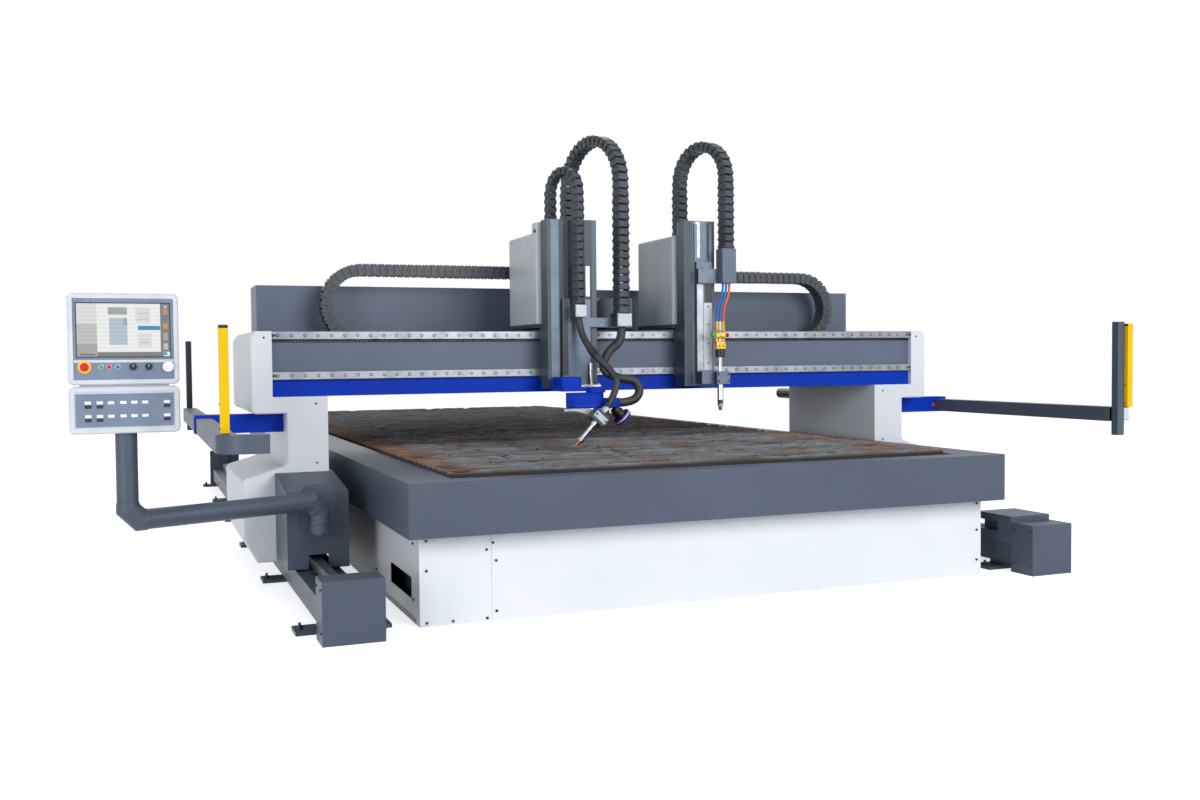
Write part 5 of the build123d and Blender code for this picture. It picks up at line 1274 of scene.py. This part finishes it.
screws("oxy_ram_screws", bolt_places, to_front, 0.005, black_oxide, "oxy_lift", "black_metal")

# %% [markdown]
# ## Gas torch
# Brass valves sit on a black collar, and a bright tube goes down through the holder to the nozzle. The plain
# solids are replaced by turned parts, because a torch is all steps, grooves and hexagons. A hexagon nut is
# the same turned part with six sides.

# %% Torch tube, collar and nozzle
tube_profile = (
    (0.094, 0.0145),
    (0.0, 0.0335),
    (0.003, 0.034),
    (0.012, 0.034),
    (0.003, 0.0335),
    (0.0, 0.0195),
    (0.16, 0.0195),
    (0.004, 0.0215),
    (0.014, 0.0215),
    (0.004, 0.019),
    (0.034, 0.0185),
    (0.004, 0.0135),
    (0.012, 0.0125),
    (0.012, 0.0095),
)
gas_torch = turned("gas_torch_tube", (torch_x, torch_y, 1.358), downward, tube_profile, torch_steel, 28)
collar_profile = ((0.003, 0.033), (0.012, 0.033), (0, 0.0305), (0.004, 0.0305), (0, 0.034))
collar_profile += ((0.016, 0.034), (0, 0.031), (0.004, 0.031), (0, 0.0335), (0.012, 0.0335), (0.003, 0.03))
collar = turned("gas_torch_collar", (torch_x, torch_y, 1.412), downward, collar_profile, black_plastic, 28)
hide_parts("oxy_torch")
on("oxy_lift", gas_torch, slot="torch_steel")
on("oxy_lift", collar, slot="black_metal")
print("torch tip at", round(min(v.co.z for v in gas_torch.data.vertices), 4))

# %% Valve block: a brass manifold with three stacks of hexagon nuts for the hoses
manifold = block("valve_body", (torch_x, torch_y, 1.436), (0.07, 0.05, 0.048))
choose(manifold, "EDGE", vertical)
bpy.ops.mesh.bevel(offset=0.01, segments=3, affect="EDGES")
choose(manifold, "FACE", vertical)
bpy.ops.mesh.bevel(offset=0.002, segments=1, affect="EDGES")
valve_parts = [close(manifold, brass)]
stack_profile = ((0.022, 0.0125), (0.002, 0.0105), (0.012, 0.0085), (0.002, 0.0125), (0.026, 0.0125))
stack_profile += ((0.002, 0.0105), (0.01, 0.008), (0.002, 0.0115), (0.03, 0.0115), (0.002, 0.01))
stack_profile += ((0.03, 0.0095),)
for place, finish in ((-1, brass), (0, torch_steel), (1, brass)):
    stack_foot = (torch_x + place * gas_spacing, torch_y, 1.459)
    valve_parts.append(turned("valve_body", stack_foot, upward, stack_profile, finish, 6))
cross_low, cross_high = (torch_x - 0.036, torch_y - 0.013, 1.492), (torch_x + 0.037, torch_y + 0.013, 1.52)
valve_parts.append(slab("valve_body", cross_low, cross_high, 0.004, brass, 2))
valve_level = 1.506
cap_profile = ((0.005, 0.0105), (0.002, 0.009))
for shift, depth, level in ((-0.014, 0.025, 1.437), (0.018, 0.025, 1.437), (0, 0.013, valve_level)):
    cap_at = (torch_x + shift, torch_y - depth, level)
    valve_parts.append(turned("valve_body", cap_at, to_front, cap_profile, brass, 6))
valve_body = joined("valve_body", valve_parts)
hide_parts("valve_block")
on("oxy_lift", valve_body, slot="valve_brass")
side_profile = ((0.008, 0.0075), (0.0, 0.0145), (0.004, 0.016), (0.016, 0.016), (0.004, 0.0135))
side_at = (torch_x - 0.033, torch_y, valve_level)
side_valve = turned("side_valve", side_at, to_left, side_profile, green_plastic, 18)
on("oxy_lift", side_valve, slot="lamp_green")

# %% Hand wheel of the gas valve
wheel_profile = ((0.009, 0.0075), (0.0, 0.0105), (0.002, 0.014), (0.011, 0.014))
wheel_profile += ((0.004, 0.0115), (0, 0.006), (-0.003, 0.005))
wheel = turned("valve_hand_wheel", (0.613, torch_y, valve_level), to_right, wheel_profile, red_plastic, 12)
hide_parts("valve_knob")
on("gas_valve", wheel, slot="stop_red")

# %% Screws of the torch holder, and a lip round the chain box
holder_places = [(x, -2.748, z) for x in (0.54, 0.612) for z in (1.2, 1.245)]
screws("holder_screws", holder_places, to_front, 0.006, black_oxide, "oxy_lift", "black_metal")
lip = block("chain_box_lip", (*oxy_end, 2.08), (0.1075, 0.0975, 0.012))
choose(lip, "EDGE", vertical)
bpy.ops.mesh.bevel(offset=0.008, segments=3, affect="EDGES")
choose(lip, "FACE", facing_up)
bpy.ops.mesh.inset(thickness=0.004)
bpy.ops.transform.translate(value=(0, 0, -0.002))
close(lip, beam_coat)
on("oxy_lift", lip, slot="table_grey")

# %% [markdown]
# ## Beam rails
# Two ground guide rails run along the beam, each held by a row of sunk bolts under plugs. A plug is a flat
# disc with a dimple, and stands only 0.3 mm proud, because the stations' runners slide over it with half a
# millimetre to spare. Black buffers at the rail ends stop a station.

# %% Plugs and end buffers
rail_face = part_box("guide_rails")[0][1]
rail_levels = (1.27, 1.513)
first_plug, plug_pitch, plug_count = -2.28, 0.08, 58
plug_profile = ((0.0021, 0.0105), (0.0002, 0.0098), (0, 0.006), (-0.0015, 0.0052))
plug = turned("rail_plugs", (0, rail_face + 0.002, 0), to_front, plug_profile, black_oxide, 10)
plug_places = [(first_plug + plug_pitch * i, 0, z) for i in range(plug_count) for z in rail_levels]
on("gantry", copied(plug, "rail_plugs", plug_places), slot="black_metal")
rail_end = 2.314
buffer_profile = ((0.006, 0.016), (0.012, 0.013), (0.006, 0.0145), (0.004, 0.011))
buffers = []
for side in (-1, 1):
    for level in rail_levels:
        buffer_at = (side * rail_end, rail_face + 0.012, level)
        buffers.append(turned("rail_buffers", buffer_at, (-side, 0, 0), buffer_profile, black_plastic, 16))
on("gantry", joined("rail_buffers", buffers), slot="black_metal")

# %% [markdown]
# ## Rack
# A toothed rack under the upper rail drives the stations. One tooth is a box narrowed at its tip, and it is
# copied along the beam. It sits in the beam's shade, so a tooth keeps only six faces.

# %% Rack
beam_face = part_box("beam")[0][1]
rack_level = 1.478
tooth_at = (0, beam_face - 0.006, rack_level)
tooth = block("drive_rack", tooth_at, (0.009, 0.012, 0.014))
choose(tooth, "FACE", facing_down)
bpy.ops.transform.resize(value=(0.45, 1, 1), center_override=tooth_at)
close(tooth, black_oxide)
first_tooth, tooth_pitch, tooth_count = -2.3, 0.02, 231
teeth = copied(tooth, "drive_rack", [(first_tooth + tooth_pitch * i, 0, 0) for i in range(tooth_count)])
rack_half = 2.31
bar_low = (-rack_half, beam_face - 0.012, rack_level + 0.006)
bar_high = (rack_half, beam_face + 0.002, rack_level + 0.0125)
bar = slab("drive_rack", bar_low, bar_high, 0.001, black_oxide)
on("gantry", joined("drive_rack", [bar, teeth]), slot="black_metal")

# %% [markdown]
# ## Base panels
# The pale panels round the base are held by small dark screws along their edges. The side panels end above
# the floor on a skirting, a thin plate with broken edges whose black is painted shade at the panels' foot.

# %% Screws on the panels
front_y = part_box("front_panel")[0][1]
side_x = 1.77
back_y = 3.87
front_places = [(-1.734, 0.02), (-1.734, 0.287), (-1.597, 0.018), (-1.415, 0.375), (-1.415, 0.018)]
front_places += [(-1.38, 0.409), (-1.364, 0.315), (-1.364, 0.051), (1.737, 0.276), (1.737, 0.091)]
front_places += [(1.737, 0.44), (-1.734, 0.44)]
first_screw, screw_pitch, screw_columns = -3.742, 0.968, 8
side_places = [(first_screw + screw_pitch * i, z) for i in range(screw_columns) for z in (0.12, 0.412)]
left_places = [(-side_x, y, z) for y, z in side_places]
right_places = [(side_x, y, z) for y, z in side_places]
back_places = [(x, back_y, z) for x in (-1.72, -0.86, 0.86, 1.72) for z in (0.05, 0.42)]
for name, places, way in (
    ("front_screws", [(x, front_y, z) for x, z in front_places], to_front),
    ("left_panel_screws", left_places, to_left),
    ("right_panel_screws", right_places, to_right),
    ("back_panel_screws", back_places, to_back),
):
    screws(name, places, way, 0.007, black_oxide, "bed", "black_metal")

# %% Skirting along the floor, black for painted shade
# A skirting strip along each side, black as painted shade at the foot of the panels.
shade_skirting_end, shade_skirting_height = 3.78, 0.028
shade_skirtings = []
for side in (-1, 1):
    low_x, high_x = sorted((side * (side_x - 0.001), side * (side_x + 0.0015)))
    ends = (low_x, -shade_skirting_end, 0.0), (high_x, shade_skirting_end, shade_skirting_height)
    shade_skirtings.append(slab("base_shade_skirting", *ends, 0.0005, black_plastic))
on("bed", joined("base_shade_skirting", shade_skirtings), slot="black_metal")

# %% [markdown]
# ## Rail beds
# Each rail bed stands on anchor plates. A plate is bolted to the floor with two studs, each with a washer
# and a hexagon nut. The stud with its washer and nut is one turned part with six sides.

# %% Anchor studs
stud_profile = ((0.003, 0.02), (0, 0.014), (0.012, 0.014), (0, 0.008), (0.014, 0.008), (0.002, 0.006))
stud = turned("anchor_studs", (0, 0, 0.02), upward, stud_profile, black_oxide, 6)
rail_x = 2.138
rail_sides = (-rail_x, rail_x)
plate_middle, plate_pitch, plate_count = -0.0225, 1.48, 6
plates_y = [plate_middle + plate_pitch * (i - (plate_count - 1) / 2) for i in range(plate_count)]
stud_places = [(x + h, y, 0) for x in rail_sides for h in (-0.21, 0.21) for y in plates_y]
on("bed", copied(stud, "anchor_studs", stud_places), slot="black_metal")

# %% Flat clips that hold the rails down
clip = block("rail_clips", (0, 0, 0.178), (0.034, 0.05, 0.007))
choose(clip, "EDGE", vertical)
bpy.ops.mesh.bevel(offset=0.008, segments=2, affect="EDGES")
choose(clip, "FACE", facing_up)
bpy.ops.mesh.bevel(offset=0.0015, segments=1, affect="EDGES")
close(clip, black_oxide)
first_clip, clip_pitch, clip_count = -3.6, 0.48, 16
clips_y = [first_clip + clip_pitch * i for i in range(clip_count)]
clip_places = [(x + e, y, 0) for x in rail_sides for e in (-0.047, 0.047) for y in clips_y]
on("bed", copied(clip, "rail_clips", clip_places), slot="black_metal")

# %% Screws on the end boxes
inner_face, outer_face = 1.986, 2.29
box_places = [(y, z) for y in (-4.06, -3.92) for z in (0.06, 0.27)]
for name, way, faces in (
    ("end_box_screws_left", to_left, (-outer_face, inner_face)),
    ("end_box_screws_right", to_right, (-inner_face, outer_face)),
):
    places = [(x, y, z) for x in faces for y, z in box_places]
    screws(name, places, way, 0.006, black_oxide, "bed", "black_metal")

# %% [markdown]
# ## Legs and carriages
# The pale leg covers are screwed to the frame. The carriages below are welded boxes with bolted covers on
# their inner sides, behind which the drives sit.

# %% Screws on the legs, bolts and covers on the carriages
leg_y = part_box("leg_covers")[0][1]
leg_spots = ((2.257, 0.637), (2.36, 1.5), (2.06, 0.74), (2.06, 1.1))
leg_places = [(side * x, leg_y, z) for side in (-1, 1) for x, z in leg_spots]
screws("leg_screws", leg_places, to_front, 0.006, black_oxide, "gantry", "black_metal")
carriage_inner = 1.966
cover_foot, cover_top, cover_proud, screw_inset = 0.28, 0.62, 0.004, 0.03
covers = []
cover_screws = {-1: [], 1: []}
for side in (-1, 1):
    inner = side * carriage_inner
    face = inner - side * cover_proud
    low_x, high_x = sorted((face, inner + side * 0.002))
    for low, high in ((-2.5, -2.0), (-1.7, -1.2)):
        corners = (low_x, low, cover_foot), (high_x, high, cover_top)
        covers.append(slab("drive_covers", *corners, 0.0015, beam_coat, 2))
        rows = (low + screw_inset, high - screw_inset)
        cover_screws[side] += [(face, y, z) for y in rows for z in (0.31, 0.59)]
on("gantry", joined("drive_covers", covers), slot="table_grey")
screws("left_cover_screws", cover_screws[-1], to_right, 0.007, zinc, "gantry")
screws("right_cover_screws", cover_screws[1], to_left, 0.007, zinc, "gantry")

# %% [markdown]
# ## Console pivot
# The console's arm turns in a bearing on the left carriage. A grooved clamp ring covers the joint. It is one
# turned part.

# %% Clamp ring
pivot_profile = ((0.003, 0.052), (0.002, 0.0545), (0.007, 0.0545), (0.001, 0.053), (0.003, 0.053))
pivot_profile += ((0.001, 0.0545), (0.007, 0.0545), (0.003, 0.052))
pivot_ring = turned("pivot_ring", (-rail_x, -3.07, 0.449), upward, pivot_profile, dark_coat, 36)
on("console_swing", pivot_ring, slot="table_grey")

# %% [markdown]
# ## Cabinet doors
# The control cabinet behind the beam opens at the back. Each of its three doors has hinges, a swing handle
# and a group of louvres. All three sets are the same, so one set is modelled and copied.

# %% Handles, hinges and louvres
cabinet_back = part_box("back_cabinet")[1][1]
door_pitch = 1.516
plate_low, plate_high = (0.66, cabinet_back - 0.002, 1.42), (0.7, cabinet_back + 0.006, 1.6)
handle_plate = slab("door_fittings", plate_low, plate_high, 0.003, black_plastic, 2)
handle = block("door_fittings", (0.68, cabinet_back + 0.01, 1.51), (0.024, 0.012, 0.14))
choose(handle, "FACE", lambda at, way: way.y > aligned)
bpy.ops.mesh.inset(thickness=0.004)
bpy.ops.mesh.extrude_region_move(TRANSFORM_OT_translate={"value": (0, 0.006, 0)})
choose(handle, "EDGE", vertical)
bpy.ops.mesh.bevel(offset=0.0025, segments=2, affect="EDGES")
close(handle, black_plastic)
fittings = [handle_plate, handle]
hinge_profile = ((0.006, 0.008), (0.02, 0.009), (0.002, 0.0085), (0.02, 0.009), (0.006, 0.008))
for level in (1.25, 1.5, 1.76):
    hinge_foot = (-0.735, cabinet_back + 0.004, level)
    fittings.append(turned("door_fittings", hinge_foot, upward, hinge_profile, black_oxide, 12))
first_vane, vane_pitch, vane_count = 1.22, 0.024, 7
for row in range(vane_count):
    level = first_vane + vane_pitch * row
    vane = block("door_fittings", (0, cabinet_back + 0.001, level), (0.3, 0.008, 0.013))
    choose(vane, "EDGE", lambda at, way: abs(way.x) > aligned and at.y > cabinet_back and at.z > level)
    bpy.ops.transform.translate(value=(0, -0.006, 0))
    fittings.append(close(vane, beam_coat))
door_set = joined("door_fittings", fittings)
doors = copied(door_set, "door_fittings", [(k * door_pitch, 0, 0) for k in (-1, 0, 1)])
on("gantry", doors, slot="black_metal")

# %% [markdown]
# ## Light barriers
# Slim yellow strips with dark caps guard the sides of the gantry. Each has a dark lens window along the side
# that faces its partner at the back. A cap is a box whose upright edges are rounded.

# %% Caps, lens windows and screws
strips = ((-2.7, -3.928, 1.02, 1.532), (2.748, -4.077, 1.02, 1.546))
cap_half, front_margin = 0.0235, 0.0002
caps = []
lenses = []
strip_screws = []
for x, y, low, high in strips:
    front, back = max(y - cap_half, cad_box[0][1] + front_margin), y + cap_half
    for bottom, top in ((low, low + 0.004), (high - 0.015, high + 0.0005)):
        middle = (x, (front + back) / 2, (bottom + top) / 2)
        cap = block("strip_caps", middle, (0.043, back - front, top - bottom))
        choose(cap, "EDGE", vertical)
        bpy.ops.mesh.bevel(offset=0.004, segments=2, affect="EDGES")
        caps.append(close(cap, black_plastic))
    lens = (x - 0.012, y + 0.0215, low + 0.03), (x + 0.012, y + 0.0238, high - 0.04)
    lenses.append(slab("strip_lenses", *lens, 0.0006, black_plastic))
    strip_screws += [(x - 0.021, y, z) for z in (low + 0.025, low + 0.14)]
on("gantry", joined("strip_caps", caps), slot="black_metal")
on("gantry", joined("strip_lenses", lenses), slot="knob_black")
screws("strip_screws", strip_screws, to_left, 0.004, black_oxide, "gantry", "black_metal")

# %% A red plug on the right arm, the relay box's face, and bracket screws
bracket_y = -2.3
arm_plug = turned(
    "arm_plug", (2.64, bracket_y, 0.975), to_front, ((0.006, 0.017), (0.003, 0.013)), red_plastic, 20
)
on("gantry", arm_plug, slot="stop_red")
relay_face = slab("relay_face", (2.749, -4.024, 0.935), (2.821, -4.018, 1.013), 0.002, cover_coat)
on("gantry", relay_face, slot="station_grey")
bracket_places = [(s * x, bracket_y, z) for s in (-1, 1) for x in (2.3, 2.56) for z in (0.945, 1.018)]
screws("bracket_screws", bracket_places, to_front, 0.006, black_oxide, "gantry", "black_metal")

# %% [markdown]
# ## Floor and light
# A studio shot of a machine stands on a pale seamless floor, under large soft lamps. The floor and the sky
# look white to the camera and to mirrors, by a glow that only these see, and the floor still takes the
# machine's shadow. The light that falls on the machine stays at a plain level, so that each paint shows
# about as it was mixed. The main lamp stands in front and to the right, and leaves the left sides in shade.

# %% Pale floor
def seen_directly(tree):
    """One for rays from the camera, off a mirror or through glass, nought for light that falls on things."""
    rays = put(tree, "ShaderNodeLightPath").outputs
    shown = rays["Is Camera Ray"]
    for kind in ("Is Glossy Ray", "Is Transmission Ray"):
        shown = put(tree, "ShaderNodeMath", {0: shown, 1: rays[kind]}, operation="MAXIMUM").outputs[0]
    return shown


bpy.ops.object.select_all(action="DESELECT")
bpy.ops.mesh.primitive_plane_add(size=60, location=(0, 0, -0.001))
floor = bpy.context.object
floor.name = "studio_floor"
floor_paint, tree, shader, place = blank("studio_floor_paint", Roughness=0.9)
shade = put(tree, "ShaderNodeTexNoise", {"Vector": place, "Scale": 1 / 2.5})
light_tone, dark_tone = linear("#f4f5f7"), linear("#f0f1f4")
tone = put(tree, "ShaderNodeMix", {0: shade.outputs[0], 6: light_tone, 7: dark_tone}, data_type="RGBA")
glow = put(tree, "ShaderNodeMapRange", {0: seen_directly(tree), 3: 0.0, 4: 0.75})
tree.links.new(tone.outputs[2], shader.inputs["Base Color"])
tree.links.new(tone.outputs[2], shader.inputs["Emission Color"])
tree.links.new(glow.outputs[0], shader.inputs["Emission Strength"])
floor.data.materials.append(floor_paint)

# %% Sky and lamps
sky = bpy.data.worlds.new("studio_sky")
bpy.context.scene.world = sky
sky.use_nodes = True
tree = sky.node_tree
level = put(tree, "ShaderNodeMapRange", {0: seen_directly(tree), 3: 0.32, 4: 1.0})
backdrop = tree.nodes["Background"]
backdrop.inputs["Color"].default_value = linear("#ffffff")
tree.links.new(level.outputs[0], backdrop.inputs["Strength"])
lamps = (
    ("key_lamp", (3.5, -13.0, 5.5), (0.0, -2.0, 0.7), 860, 6.0),
    ("fill_lamp", (-8.5, -9.0, 2.6), (0.5, -2.0, 0.9), 330, 4.0),
    ("rim_lamp", (3.0, 9.0, 9.0), (0.0, 0.0, 1.0), 330, 6.0),
)
for name, at, aim, power, size in lamps:
    lamp_data = bpy.data.lights.new(name, "AREA")
    lamp_data.energy = power
    lamp_data.size = size
    lamp = bpy.data.objects.new(name, lamp_data)
    bpy.context.scene.collection.objects.link(lamp)
    lamp.location = at
    lamp.rotation_euler = (Vector(aim) - Vector(at)).to_track_quat("-Z", "Y").to_euler()
bpy.context.scene.view_settings.view_transform = "Standard"
print(len(lamps), "lamps")
